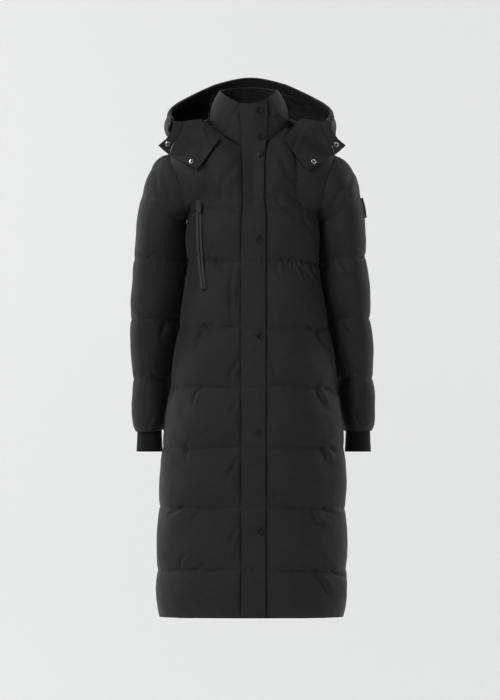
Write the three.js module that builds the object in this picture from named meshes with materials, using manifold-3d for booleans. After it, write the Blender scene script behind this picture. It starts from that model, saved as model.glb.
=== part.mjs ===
// Long hooded puffer coat, filled out with no wearer. Millimetres, +Z up, the front towards -Y.
// Heights in the tables are measured up from the hem. The group is then moved down, so that
// its origin is the middle of the neck base, where the wearer's shoulders hold the coat.
// The wearer's right is -X and the wearer's left is +X.
import * as THREE from 'three';
import Module from 'manifold-3d';
import { mergeVertices } from 'three/addons/utils/BufferGeometryUtils.js';

const HOLD_HEIGHT = 1098;
const GAP = 0.3;
const HALF_GAP = 0.18;
const SEAM_WALL = 3;
const BODY_PUFF = 14;
const SLEEVE_PUFF = 7;
const ZIP_X = 3.4;
const ROUNDNESS = 2.3;
const CHEST_HEIGHT = 885;
const FRONT_NECK_HEIGHT = 1082;
const SHOULDER_X = 190;
const SHOULDER_Y = 4;
const SHOULDER_HEIGHT = 1066;

// inside of the body wall: half widths to each side, depths to the front and back
const BODY = [
  { height: 0, right: 210, left: 208, front: 136, back: 136 },
  { height: 109, right: 214, left: 213, front: 136, back: 136 },
  { height: 252, right: 209, left: 210, front: 132, back: 133 },
  { height: 390, right: 201, left: 208, front: 127, back: 131 },
  { height: 530, right: 183, left: 193, front: 121, back: 128 },
  { height: 666, right: 163, left: 173, front: 112, back: 118 },
  { height: 760, right: 148, left: 153, front: 104, back: 103 },
  { height: 818, right: 144, left: 149, front: 103, back: 99 },
  { height: 885, right: 146, left: 149, front: 109, back: 106 },
  { height: 925, right: 145, left: 152, front: 112, back: 112 },
];
const BODY_SEAMS = [0, 109, 252, 390, 530, 666, 818, 964, 1082];
const CHANNEL_ROWS = [0, 0.16, 0.5, 0.84];
const CHEST_RISES = [0, 0.11, 0.22, 0.3, 0.4, 0.5, 0.62, 0.74, 0.87, 1];

// armhole seam from the side seam up to the shoulder: out is the share of the way from the
// underarm to the shoulder point, front and back are its depths on each face
const ARMHOLE = [
  { rise: 0, out: 0, front: 0, back: 0, height: 885 },
  { rise: 0.22, out: 0, front: 0, back: 0, height: 925 },
  { rise: 0.31, out: 0.03, front: -27, back: 27, height: 930 },
  { rise: 0.42, out: 0.12, front: -50, back: 50, height: 947 },
  { rise: 0.56, out: 0.38, front: -64, back: 68, height: 985 },
  { rise: 0.72, out: 0.66, front: -57, back: 63, height: 1022 },
  { rise: 0.87, out: 0.87, front: -33, back: 40, height: 1050 },
  { rise: 1, out: 1, front: 4, back: 4, height: 1066 },
];
const UNDERARM_RISE = 0.22;

// neck seam: an oval set a little to the wearer's right, lowest at the front
const NECK = { x: -7, half: 90, front: 74, back: 80, side: 1137, rear: 1150 };
const COLLAR_TOP = { x: -8.5, half: 66, front: 66, back: 60, front_height: 1180, side: 1213, rear: 1222 };
const COLLAR_WALL = 6;

// columns of a front panel: distances from the zip, then equal shares of the way to the side
const STRIP_COLUMNS = [HALF_GAP, 14, 27.6, 36];
const FRONT_SHARES = [1 / 8, 2 / 8, 3 / 8, 4 / 8, 5 / 8, 6 / 8, 7 / 8, 1];
const BACK_COLUMNS = 8;
const NECK_COLUMNS = 4;

const PLACKET = { half: 27.2, wall: 6 };

// largest pinches in the quilting: middle of the crease, direction and size, as seen face on
const FRONT_CREASES = [
  { x: -122, height: 653, lean: 27, long: 34, wide: 13, deep: 9 },
  { x: -131, height: 514, lean: 30, long: 26, wide: 13, deep: 8 },
  { x: -152, height: 385, lean: 8, long: 26, wide: 13, deep: 7 },
  { x: -133, height: 237, lean: 34, long: 24, wide: 13, deep: 6 },
  { x: -162, height: 134, lean: 30, long: 22, wide: 13, deep: 6 },
  { x: 158, height: 643, lean: -22, long: 32, wide: 13, deep: 8 },
  { x: 157, height: 508, lean: -22, long: 32, wide: 13, deep: 8 },
  { x: 168, height: 374, lean: -27, long: 30, wide: 13, deep: 8 },
  { x: 147, height: 226, lean: -38, long: 28, wide: 13, deep: 7 },
  { x: 162, height: 78, lean: -35, long: 42, wide: 13, deep: 7 },
  { x: -50, height: 740, lean: 0, long: 60, wide: 12, deep: 6 },
  { x: -44, height: 576, lean: 28, long: 36, wide: 12, deep: 6 },
  { x: -45, height: 345, lean: 30, long: 38, wide: 12, deep: 6 },
];
const BACK_CREASES = [
  { x: -118, height: 640, lean: 24, long: 34, wide: 14, deep: 8 },
  { x: 128, height: 505, lean: -26, long: 32, wide: 14, deep: 8 },
  { x: -140, height: 372, lean: 20, long: 30, wide: 14, deep: 7 },
  { x: 96, height: 232, lean: -32, long: 28, wide: 14, deep: 7 },
  { x: -70, height: 786, lean: 12, long: 30, wide: 14, deep: 7 },
  { x: 62, height: 792, lean: -14, long: 30, wide: 14, deep: 7 },
];

// a sleeve's inner half reaches in to the body, and lies behind the side seam by this share of that
const INWARD_BACK = 0.8;
// inside of the sleeve wall: middle of each ring on the two sides, half width, middle and half
// depth, and how much farther its inner half reaches toward the body
const SLEEVE = [
  { height: 431, right: 237, left: 245, half: 29.6, middle: 62, deep: 37,
    inward_right: 0, inward_left: 0 },
  { height: 440, right: 238, left: 246, half: 32, middle: 61, deep: 41,
    inward_right: 0, inward_left: 0 },
  { height: 489, right: 238, left: 246, half: 31, middle: 59, deep: 44,
    inward_right: 0, inward_left: 0 },
  { height: 548, right: 239, left: 243, half: 33, middle: 50, deep: 48,
    inward_right: 7, inward_left: 0 },
  { height: 617, right: 240, left: 240, half: 33, middle: 40, deep: 50,
    inward_right: 16, inward_left: 7 },
  { height: 686, right: 243, left: 236, half: 34, middle: 29, deep: 52,
    inward_right: 37, inward_left: 22 },
  { height: 765, right: 233, left: 228, half: 37, middle: 20, deep: 54,
    inward_right: 30, inward_left: 19 },
  { height: 826, right: 232, left: 222, half: 38, middle: 14, deep: 57,
    inward_right: 38, inward_left: 21 },
  { height: 891, right: 220, left: 216, half: 38, middle: 8, deep: 60,
    inward_right: 11, inward_left: 3 },
];
const SLEEVE_SEAMS = [429, 548, 686, 826, 966, 1066];
const CAP_SHARES = [0, 0.1, 0.28, 0.47, 0.57, 0.72, 0.86];
const SLEEVE_ROWS = [891, 858, 826, 798, 756, 714, 686, 658, 617, 576, 548, 524, 489, 455, 440, 431];

const CUFF = { wall: 2.2, rib: 1, ribs: 32 };
const CUFF_ROWS = [
  { height: 380, half: 27.6, deep: 34.4 },
  { height: 412, half: 25.9, deep: 33.0 },
  { height: 446, half: 25.2, deep: 32.4 },
];

// hood lying open behind the collar: its wall from the rim, down, and up to the neck, as
// distances out from the neck's middle and heights, at turns from one shoulder to the other
const HOOD = [
  { turn: -8, out0: 177, up0: 1146, out1: 190, up1: 1130, out2: 186, up2: 1112, out3: 166, up3: 1108,
    out4: 138, up4: 1128, out5: 97.5, up5: 1147 },
  { turn: 8, out0: 186, up0: 1166, out1: 200, up1: 1142, out2: 198, up2: 1114, out3: 174, up3: 1106,
    out4: 142, up4: 1126, out5: 97.5, up5: 1148 },
  { turn: 38, out0: 178, up0: 1200, out1: 203, up1: 1158, out2: 198, up2: 1104, out3: 174, up3: 1078,
    out4: 142, up4: 1106, out5: 94.5, up5: 1152 },
  { turn: 64, out0: 168, up0: 1232, out1: 202, up1: 1176, out2: 200, up2: 1090, out3: 174, up3: 1044,
    out4: 146, up4: 1082, out5: 90.5, up5: 1158 },
  { turn: 90, out0: 164, up0: 1250, out1: 202, up1: 1182, out2: 202, up2: 1080, out3: 174, up3: 1024,
    out4: 147, up4: 1066, out5: 88.5, up5: 1160 },
];
const HOOD_PANELS = [
  { name: 'hood_side_right', from: -8, to: 61.6, columns: 7 },
  { name: 'hood_centre', from: 62.2, to: 117.8, columns: 6 },
  { name: 'hood_side_left', from: 118.4, to: 188, columns: 7 },
];
const HOOD_EDGE = 35.4;
const HOOD_WALL = 3;
const HOOD_PUFF = 4;
const HOOD_BAND = { share: 0.075, wall: 8 };

// the hood's front flaps, folded out over the shoulders: outer and inner edge, top to bottom
const FLAP = [
  { outer_x: 158, outer_height: 1141, inner_x: 113, inner_height: 1147 },
  { outer_x: 161, outer_height: 1122, inner_x: 92, inner_height: 1126 },
  { outer_x: 172, outer_height: 1102, inner_x: 75, inner_height: 1100 },
  { outer_x: 184, outer_height: 1084, inner_x: 98, inner_height: 1066 },
  { outer_x: 190, outer_height: 1064, inner_x: 127, inner_height: 1029 },
];
const FLAP_MIDDLE = -3;
const FLAP_WALL = { edge: 4, middle: 9 };
// outer edge of the hood's edge band where it ends beside each flap
const BAND_END = [
  { x: 182, height: 1142 },
  { x: 185, height: 1121 },
  { x: 198, height: 1101 },
  { x: 216, height: 1086 },
  { x: 203, height: 1074 },
];
const BAND_END_WALL = 6;
const LAY_GAP = 1.6;

const SNAP_CAP = { radius: 7.6, height: 2.4 };
const SNAPS = [
  { x: 15, height: 1167, gap: 0.45 },
  { x: 19.5, height: 1106, gap: 0.9 },
  { x: 19.5, height: 1065, gap: 0.9 },
  { x: 16, height: 869, gap: 0.4 },
  { x: 17, height: 648.5, gap: 0.4 },
  { x: 16, height: 426.5, gap: 0.4 },
  { x: 19.5, height: 201, gap: 0.4 },
];
const RING_SNAP = { outer: 5.8, inner: 2.6, height: 1.8 };
const RING_SPOTS = [
  { name: 'hood_snap_flap_right', x: -139, height: 1048.5 },
  { name: 'hood_snap_tip_right', x: -194, height: 1089.5 },
  { name: 'hood_snap_flap_left', x: 141, height: 1048 },
  { name: 'hood_snap_tip_left', x: 194, height: 1088 },
];

const POCKET_ZIP = [
  { height: 756, x: -111.5 },
  { height: 790, x: -115.5 },
  { height: 822, x: -118.5 },
  { height: 850, x: -120.5 },
  { height: 890, x: -121.8 },
  { height: 925, x: -122 },
  { height: 960, x: -121.5 },
];
const ZIP_ROWS = 16;
const WELT = { wide: 4.3, wall: 2, coil: 2.2 };
const SLIDER = { height: 954, x: -121.5, wide: 8, tall: 11, thick: 2.6, arch: 4.4, bridge: 2.2, bar: 1.4 };
const PULL = { wide: 6, long: 25, thick: 1.4, window: 3.4, window_long: 6 };
const EYELET = { height: 780, outer: 3, inner: 1.2, thick: 1.2 };
const PATCH = { height: 943, tall: 46, wide: 34, wall: 1.2 };

const SHELL = { color: 0x242628, roughness: 0.78, metalness: 0 };
const shellCloth = new THREE.MeshStandardMaterial({ ...SHELL, side: THREE.DoubleSide });
const ribKnit = new THREE.MeshStandardMaterial({ color: 0x121314, roughness: 0.95, metalness: 0 });
const capMetal = new THREE.MeshStandardMaterial({ color: 0x1c1d1f, roughness: 0.5, metalness: 0.6 });
const brightMetal = new THREE.MeshStandardMaterial({ color: 0xb8babd, roughness: 0.25, metalness: 1 });
const zipTape = new THREE.MeshStandardMaterial({ color: 0x2e3033, roughness: 0.6, metalness: 0 });

const coat = new THREE.Group();
const V = (x, y, z) => new THREE.Vector3(x, y, z);
const mix = THREE.MathUtils.lerp;

function lookup(table, key, column, value) {
  // smooth value of one column at a place between the table's rows
  const last = table.length - 1;
  const place = THREE.MathUtils.clamp(value, table[0][key], table[last][key]);
  let low = 0;
  while (low < last - 1 && table[low + 1][key] < place) low++;
  const slope = (row) => {
    const before = table[Math.max(row - 1, 0)];
    const after = table[Math.min(row + 1, last)];
    return (after[column] - before[column]) / (after[key] - before[key]);
  };
  const step = table[low + 1][key] - table[low][key];
  const t = (place - table[low][key]) / step;
  const from = (1 + 2 * t) * (1 - t) ** 2 * table[low][column] + t * (1 - t) ** 2 * step * slope(low);
  const to = t * t * (3 - 2 * t) * table[low + 1][column] - t * t * (1 - t) * step * slope(low + 1);
  return from + to;
}

function signedPower(value, power) {
  return Math.sign(value) * Math.abs(value) ** power;
}

function fullness(height, seams) {
  // 0 on a quilting seam and 1 in the middle of a channel
  let low = 0;
  while (low < seams.length - 2 && height > seams[low + 1]) low++;
  const phase = (height - seams[low]) / (seams[low + 1] - seams[low]);
  return Math.sin(Math.PI * THREE.MathUtils.clamp(phase, 0, 1)) ** 0.6;
}

function normals(grid, before = () => null, after = () => null, closed = false) {
  // unit normals of a grid of points; before and after give the neighbours beyond its ends
  const rows = grid.length;
  return grid.map((row, r) => row.map((point, c) => {
    const count = row.length;
    const wrap = (index) => row[(index + count) % count];
    const left = c > 0 ? row[c - 1] : closed ? wrap(-1) : before(r) ?? point;
    const right = c < count - 1 ? row[c + 1] : closed ? wrap(count) : after(r) ?? point;
    const below = grid[Math.max(r - 1, 0)][c];
    const above = grid[Math.min(r + 1, rows - 1)][c];
    const along = right.clone().sub(left);
    return along.cross(above.clone().sub(below)).normalize();
  }));
}

function moved(grid, directions, distance) {
  // each point moved along its direction by distance(row, column, point)
  return grid.map((row, r) => row.map((point, c) => point.clone().addScaledVector(
    directions[r][c], distance(r, c, point))));
}

function addSolid(name, geometry, material) {
  const mesh = new THREE.Mesh(geometry, material);
  mesh.name = name;
  coat.add(mesh);
  return mesh;
}

function volumeOf(points, triangles) {
  let total = 0;
  for (let i = 0; i < triangles.length; i += 3) {
    const [a, b, c] = [points[triangles[i]], points[triangles[i + 1]], points[triangles[i + 2]]];
    total += a.dot(b.clone().cross(c)) / 6;
  }
  return total;
}

function wall(name, inside, outside, material, closed = false) {
  // closed solid between two grids of points, joined along every free edge
  const rows = inside.length;
  const columns = inside[0].length;
  const points = [...inside.flat(), ...outside.flat()];
  const at = (layer, row, column) => (layer * rows + row) * columns + (column % columns);
  const triangles = [];
  const quad = (a, b, c, d) => triangles.push(a, b, c, a, c, d);
  const across = closed ? columns : columns - 1;
  const top = rows - 1;
  for (let c = 0; c < across; c++) {
    for (let r = 0; r < top; r++) {
      quad(at(1, r, c), at(1, r, c + 1), at(1, r + 1, c + 1), at(1, r + 1, c));
      quad(at(0, r, c), at(0, r + 1, c), at(0, r + 1, c + 1), at(0, r, c + 1));
    }
    quad(at(0, 0, c), at(0, 0, c + 1), at(1, 0, c + 1), at(1, 0, c));
    quad(at(1, top, c), at(1, top, c + 1), at(0, top, c + 1), at(0, top, c));
  }
  const end = columns - 1;
  for (let r = 0; r < top && !closed; r++) {
    quad(at(1, r, 0), at(1, r + 1, 0), at(0, r + 1, 0), at(0, r, 0));
    quad(at(0, r, end), at(0, r + 1, end), at(1, r + 1, end), at(1, r, end));
  }
  if (volumeOf(points, triangles) < 0) triangles.reverse();
  const geometry = new THREE.BufferGeometry().setFromPoints(points);
  geometry.setIndex(triangles);
  geometry.computeVertexNormals();
  return addSolid(name, geometry, material);
}

// body: rings up to the chest, then a patch between the chest, the neck and shoulder seams,
// the front or back middle and the armhole
function bodyHalf(side, height) {
  return lookup(BODY, 'height', side < 0 ? 'right' : 'left', height);
}

function ringPoint(side, height, angle) {
  const deep = lookup(BODY, 'height', Math.cos(angle) > 0 ? 'front' : 'back', height);
  const power = 2 / ROUNDNESS;
  const x = side * bodyHalf(side, height) * signedPower(Math.sin(angle), power);
  return V(x, -deep * signedPower(Math.cos(angle), power), height);
}

function frontAngle(side, height, column) {
  const reach = (distance) => {
    const share = (side * ZIP_X + distance) / bodyHalf(side, height);
    return Math.asin(signedPower(share, ROUNDNESS / 2));
  };
  const strip = STRIP_COLUMNS.length;
  if (column < strip) return reach(STRIP_COLUMNS[column]);
  return mix(reach(STRIP_COLUMNS[strip - 1]), Math.PI / 2, FRONT_SHARES[column - strip]);
}

function neckPoint(side, angle) {
  const front = Math.cos(angle) > 0;
  const x = NECK.x + side * NECK.half * Math.sin(angle);
  const y = -(front ? NECK.front : NECK.back) * Math.cos(angle);
  const rise = Math.sin(angle) ** 2;
  return V(x, y, mix(front ? FRONT_NECK_HEIGHT : NECK.rear, NECK.side, rise));
}

function neckReach(side, distance) {
  return Math.asin((side * (ZIP_X - NECK.x) + distance) / NECK.half);
}

function shoulderPoint(side, share) {
  const neck = neckPoint(side, Math.PI / 2);
  const point = neck.lerp(V(side * SHOULDER_X, SHOULDER_Y, SHOULDER_HEIGHT), share);
  point.z += 6 * Math.sin(Math.PI * share);
  return point;
}

function armholePoint(side, face, rise) {
  const height = lookup(ARMHOLE, 'rise', 'height', rise);
  const out = lookup(ARMHOLE, 'rise', 'out', rise);
  const x = mix(bodyHalf(side, Math.min(height, 925)), SHOULDER_X, out);
  const y = rise <= UNDERARM_RISE ? 0 : lookup(ARMHOLE, 'rise', face, rise);
  return V(side * x, y, height);
}

function frontTop(side, column) {
  const strip = STRIP_COLUMNS.length;
  if (column < strip) return neckPoint(side, neckReach(side, STRIP_COLUMNS[column]));
  const neckShare = (column - strip + 1) / 4;
  if (neckShare <= 1) return neckPoint(side, mix(neckReach(side, STRIP_COLUMNS[3]), Math.PI / 2, neckShare));
  return shoulderPoint(side, neckShare - 1);
}

function backTop(side, column) {
  const neckShare = column / NECK_COLUMNS;
  if (neckShare <= 1) return neckPoint(side, Math.PI * (1 - neckShare / 2));
  return shoulderPoint(side, neckShare - 1);
}

function upperGrid(side, face, bottom, top) {
  // patch between the four edges, one row for each chest rise
  const last = bottom.length - 1;
  const middle = (rise) => {
    const point = bottom[0].clone().lerp(top[0], rise);
    point.y += (face === 'front' ? -10 : 12) * Math.sin(Math.PI * rise);
    return point;
  };
  return CHEST_RISES.map((rise) => bottom.map((low, c) => {
    const share = c / last;
    const arm = armholePoint(side, face, rise);
    const blend = low.clone().lerp(top[c], rise);
    const across = middle(rise).lerp(arm, share);
    const corners = bottom[0].clone().lerp(bottom[last], share)
      .lerp(top[0].clone().lerp(top[last], share), rise);
    return blend.add(across).sub(corners);
  }));
}

function lowerHeights() {
  const heights = [];
  for (let i = 0; BODY_SEAMS[i] < CHEST_HEIGHT; i++) {
    for (const phase of CHANNEL_ROWS) heights.push(mix(BODY_SEAMS[i], BODY_SEAMS[i + 1], phase));
  }
  return heights.filter((height) => height < CHEST_HEIGHT - 20);
}

const LOWER = lowerHeights();
const LEVELS = [...LOWER, ...CHEST_RISES.map((rise) => mix(CHEST_HEIGHT, FRONT_NECK_HEIGHT, rise))];

function halfGrid(side, face) {
  const columns = face === 'front' ? STRIP_COLUMNS.length + FRONT_SHARES.length : BACK_COLUMNS + 1;
  const angle = (height, c) => face === 'front'
    ? frontAngle(side, height, c)
    : Math.PI - (Math.PI / 2) * (c / BACK_COLUMNS);
  const ring = (height) => Array.from({ length: columns }, (_, c) => ringPoint(side, height, angle(height, c)));
  const top = Array.from({ length: columns }, (_, c) => (face === 'front' ? frontTop : backTop)(side, c));
  return [...LOWER.map(ring), ...upperGrid(side, face, ring(CHEST_HEIGHT), top)];
}

const UNDERARM_ROW = LOWER.length + CHEST_RISES.indexOf(UNDERARM_RISE);
const TOP_ROW = LEVELS.length - 1;

function seamed(grid, face) {
  // the side and shoulder seams drawn back by half the gap
  const shift = face === 'front' ? -HALF_GAP : HALF_GAP;
  const last = grid[0].length - 1;
  const shoulder = face === 'front' ? STRIP_COLUMNS.length + 3 : NECK_COLUMNS;
  return grid.map((row, r) => row.map((point, c) => {
    const onSide = c === last && r <= UNDERARM_ROW;
    const onShoulder = r === TOP_ROW && c >= shoulder;
    return onSide || onShoulder ? point.clone().add(V(0, shift, 0)) : point;
  }));
}

function creaseDepth(creases, point) {
  let depth = 0;
  for (const crease of creases) {
    const lean = THREE.MathUtils.degToRad(crease.lean);
    const dx = point.x - crease.x;
    const dz = point.z - crease.height;
    const along = dz * Math.cos(lean) + dx * Math.sin(lean);
    const aside = dx * Math.cos(lean) - dz * Math.sin(lean);
    depth += crease.deep * Math.exp(-((along / crease.long) ** 2) - (aside / crease.wide) ** 2);
  }
  return depth;
}

function bodyWall(face, row, share, strip, point) {
  // wall thickness: thin at seams, edges and under the placket, full in a channel's middle
  const upper = row > UNDERARM_ROW;
  const underarm = Math.max(0, (row - LOWER.length) / (UNDERARM_ROW - LOWER.length));
  const atSide = mix(mix(1, 0.4, Math.max(0, share * 2 - 1)), Math.min(1, (1 - share) * 5), underarm);
  const atArm = upper ? Math.min(1, (1 - share) * 5) : atSide;
  const atTop = Math.min(1, (TOP_ROW - row) / 2.5);
  const underHood = face === 'back' && row > UNDERARM_ROW + 1 ? 0.45 : 1;
  const puff = BODY_PUFF * fullness(LEVELS[row], BODY_SEAMS) * atArm * atTop * strip * underHood;
  const creases = face === 'front' ? FRONT_CREASES : BACK_CREASES;
  return SEAM_WALL + Math.max(0, puff - creaseDepth(creases, point) * Math.min(1, puff / 4));
}

const halves = {};
for (const side of [-1, 1]) {
  halves[side] = { front: seamed(halfGrid(side, 'front'), 'front'), back: seamed(halfGrid(side, 'back'), 'back') };
}

function neighbour(side, face) {
  // point beyond the side seam, on the other panel
  const other = halves[side][face === 'front' ? 'back' : 'front'];
  return (row) => (row <= UNDERARM_ROW ? other[row][other[row].length - 2] : null);
}

function outward(directions, grid) {
  // turn the normals so that they point away from the body's middle line
  return directions.map((row, r) => row.map((direction, c) => {
    const away = V(grid[r][c].x, grid[r][c].y, 0).add(V(0, 0, r > UNDERARM_ROW + 4 ? 60 : 0));
    return direction.dot(away) < 0 ? direction.negate() : direction;
  }));
}

function shareSeams(directions, side, sideColumn, shoulderColumns) {
  // the same wall direction on both panels of a side seam and of a shoulder seam
  for (let r = 0; r <= UNDERARM_ROW; r++) directions[r][sideColumn].setY(0).normalize();
  directions[UNDERARM_ROW][sideColumn].set(side, 0, 0);
  for (const c of shoulderColumns) directions[TOP_ROW][c].set(side * 0.45, 0, 0.89).normalize();
}

// front panels
const fronts = {};
for (const side of [-1, 1]) {
  const grid = halves[side].front;
  const across = (row) => halves[-side].front[row][1];
  const directions = outward(normals(grid, across, neighbour(side, 'front')), grid);
  const last = grid[0].length - 1;
  shareSeams(directions, side, last, [last - 4, last - 3, last - 2, last - 1, last]);
  const strip = (c) => (c < 3 ? 0 : c === 3 ? 0.55 : 1);
  const outside = moved(grid, directions, (r, c, p) => bodyWall('front', r, c / last, strip(c), p));
  const ordered = (rows) => (side < 0 ? rows.map((row) => [...row].reverse()) : rows);
  const mesh = wall(side < 0 ? 'front_right' : 'front_left', ordered(grid), ordered(outside), shellCloth);
  fronts[side] = { grid, directions, outside, mesh };
}

// back panel, in one piece from side seam to side seam
const backRight = halves[-1].back;
const backLeft = halves[1].back;
const backGrid = backRight.map((row, r) => [...[...row].reverse(), ...backLeft[r].slice(1)]);
const backNormals = outward(normals(backGrid, neighbour(-1, 'back'), neighbour(1, 'back')), backGrid);
shareSeams(backNormals, -1, 0, [0, 1, 2, 3, 4]);
shareSeams(backNormals, 1, 2 * BACK_COLUMNS, [0, 1, 2, 3, 4].map((c) => 2 * BACK_COLUMNS - c));
const backOutside = moved(backGrid, backNormals, (r, c, p) => bodyWall(
  'back', r, Math.abs(c - BACK_COLUMNS) / BACK_COLUMNS, 1, p));
const backMesh = wall('back', backGrid, backOutside, shellCloth);

// sleeves: a cap from the armhole to the first level ring, then rings down to the cuff
function armholeLoop(side) {
  // points and directions round the armhole: underarm, up the front, shoulder, down the back
  const front = fronts[side];
  const last = front.grid[0].length - 1;
  const backColumn = side < 0 ? 0 : 2 * BACK_COLUMNS;
  const loop = [];
  const add = (grid, directions, row, column, inner) => {
    const point = grid[row][column].clone();
    const normal = directions[row][column].clone();
    const off = point.clone().sub(grid[row][inner]).normalize();
    const low = row <= UNDERARM_ROW + 1;
    if (low) off.add(V(0, 0, 1.5)).normalize();
    loop.push({ point, normal, off, gap: low ? 3.2 : GAP });
  };
  for (let r = UNDERARM_ROW; r <= TOP_ROW; r++) add(front.grid, front.directions, r, last, last - 1);
  const backInner = side < 0 ? 1 : 2 * BACK_COLUMNS - 1;
  for (let r = TOP_ROW - 1; r > UNDERARM_ROW; r--) add(backGrid, backNormals, r, backColumn, backInner);
  for (const index of [0, TOP_ROW - UNDERARM_ROW]) {
    loop[index].point.y = index === 0 ? 0 : SHOULDER_Y;
    loop[index].off = index === 0 ? V(0, 0, 1) : V(side * 0.85, 0, -0.5).normalize();
  }
  return loop;
}

function sleeveRing(side, height, count) {
  const middle = lookup(SLEEVE, 'height', side < 0 ? 'right' : 'left', height);
  const half = lookup(SLEEVE, 'height', 'half', height);
  const inward = lookup(SLEEVE, 'height', side < 0 ? 'inward_right' : 'inward_left', height);
  return Array.from({ length: count }, (_, j) => {
    const turn = (2 * Math.PI * j) / count;
    const lobe = Math.max(0, Math.cos(turn));
    const x = side * (middle - half * Math.cos(turn) - inward * lobe);
    const y = lookup(SLEEVE, 'height', 'middle', height) - lookup(SLEEVE, 'height', 'deep', height) * Math.sin(turn);
    return V(x, y + INWARD_BACK * inward * lobe ** 2, height);
  });
}

function capCurve(from, to, side) {
  const length = from.point.distanceTo(to);
  const start = from.off.clone().add(V(side * 0.8, 0, -0.15)).normalize().multiplyScalar(length * 1.05);
  const finish = V(0, 0, -length * 0.95);
  return (t) => {
    const point = from.point.clone().addScaledVector(from.off, from.gap).multiplyScalar((1 + 2 * t) * (1 - t) ** 2);
    point.addScaledVector(start, t * (1 - t) ** 2);
    point.addScaledVector(to, t * t * (3 - 2 * t));
    return point.addScaledVector(finish, -t * t * (1 - t));
  };
}

const sleeves = {};
for (const side of [-1, 1]) {
  const loop = armholeLoop(side);
  const count = loop.length;
  const first = sleeveRing(side, SLEEVE_ROWS[0], count);
  const curves = loop.map((start, j) => capCurve(start, first[j], side));
  const grid = [
    ...CAP_SHARES.map((share) => curves.map((curve) => curve(share))),
    ...SLEEVE_ROWS.map((height) => sleeveRing(side, height, count)),
  ];
  const levels = [...CAP_SHARES.map((share) => mix(1066, 891, share)), ...SLEEVE_ROWS];
  const directions = normals(grid, undefined, undefined, true);
  const outerness = (j) => (1 - Math.cos((2 * Math.PI * j) / count)) / 2;
  const [low, high] = [grid[12][0], grid[12][count / 2]];
  if (directions[12][0].dot(low.clone().sub(high)) < 0) {
    directions.forEach((row) => row.forEach((direction) => direction.negate()));
  }
  directions[0].forEach((direction, j) => direction.copy(loop[j].normal));
  const outside = moved(grid, directions, (r, j) => {
    const share = CAP_SHARES[r] ?? 1;
    const ease = mix(Math.min(1, share * 1.2), 1, outerness(j));
    return SEAM_WALL + SLEEVE_PUFF * fullness(levels[r], SLEEVE_SEAMS) * ease;
  });
  const mesh = wall(side < 0 ? 'sleeve_right' : 'sleeve_left', grid, outside, shellCloth, true);
  sleeves[side] = { grid, directions, outside, mesh };
}

// rib knit cuffs, tucked into the sleeve ends
for (const side of [-1, 1]) {
  const end = SLEEVE[0];
  const middle = side * (side < 0 ? end.right : end.left);
  const columns = CUFF.ribs * 2;
  const oval = (row, add) => Array.from({ length: columns }, (_, j) => {
    const turn = (2 * Math.PI * j) / columns;
    const rib = j % 2 === 0 ? add : add - (add > 0 ? CUFF.rib : 0);
    return V(middle + (row.half + rib) * Math.cos(turn), end.middle + (row.deep + rib) * Math.sin(turn), row.height);
  });
  const inside = CUFF_ROWS.map((row) => oval(row, 0));
  const outside = CUFF_ROWS.map((row) => oval(row, CUFF.wall + CUFF.rib));
  wall(side < 0 ? 'cuff_right' : 'cuff_left', inside, outside, ribKnit, true);
}

// stand collar, open at the front under the placket
function collarPoint(side, angle, share) {
  const low = neckPoint(side, angle);
  const steep = mix(0.8, 1, Math.sin(angle) ** 2);
  low.z += GAP + SEAM_WALL * steep;
  const front = Math.cos(angle) > 0;
  const deep = front ? COLLAR_TOP.front : COLLAR_TOP.back;
  const edge = front ? COLLAR_TOP.front_height : COLLAR_TOP.rear;
  const high = V(
    COLLAR_TOP.x + side * COLLAR_TOP.half * Math.sin(angle),
    -deep * Math.cos(angle),
    mix(edge, COLLAR_TOP.side, Math.sin(angle) ** 2));
  const point = low.lerp(high, share);
  const swell = 3 * Math.sin(Math.PI * share);
  return point.add(V(side * swell * Math.sin(angle), -swell * Math.cos(angle), 0));
}

function collarAngle(side, distance, share) {
  const x = mix(NECK.x, COLLAR_TOP.x, share);
  const half = mix(NECK.half, COLLAR_TOP.half, share);
  return Math.asin((side * (ZIP_X - x) + distance) / half);
}

const COLLAR_SHARES = [0, 0.18, 0.5, 0.82, 1];
const COLLAR_TURNS = [52, 70, 90, 110, 130, 150, 168];

function collarRow(share) {
  const half = (side) => [
    ...STRIP_COLUMNS.map((distance) => collarPoint(side, collarAngle(side, distance, share), share)),
    ...COLLAR_TURNS.map((turn) => collarPoint(side, THREE.MathUtils.degToRad(turn), share)),
  ];
  return [...half(1), ...half(-1).reverse()];
}

const collarGrid = COLLAR_SHARES.map(collarRow);
const collarNormals = normals(collarGrid).map((row, r) => row.map((direction, c) => {
  const away = collarGrid[r][c].clone().sub(V(NECK.x, 0, collarGrid[r][c].z));
  return direction.dot(away) < 0 ? direction.negate() : direction;
}));
const collarEnd = collarGrid[0].length - 1;
const collarOutside = moved(collarGrid, collarNormals, (r, c) => {
  const fromEnd = Math.min(c, collarEnd - c);
  const puff = fromEnd < 3 ? 0 : fromEnd === 3 ? 0.5 : 1;
  return SEAM_WALL + COLLAR_WALL * puff * Math.sin(Math.PI * COLLAR_SHARES[r]);
});
wall('collar', collarGrid, collarOutside, shellCloth);

// placket: laid on the points of the fronts and the collar, moved out
function bridged(rightRow, leftRow) {
  // the five points across the zip: two on the right, the middle, two on the left
  const middle = rightRow[0].clone().lerp(leftRow[0], 0.5);
  const share = PLACKET.half / STRIP_COLUMNS[2];
  const edge = (row) => middle.clone().lerp(row[2], share);
  return [edge(rightRow), rightRow[1].clone(), middle, leftRow[1].clone(), edge(leftRow)];
}

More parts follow.
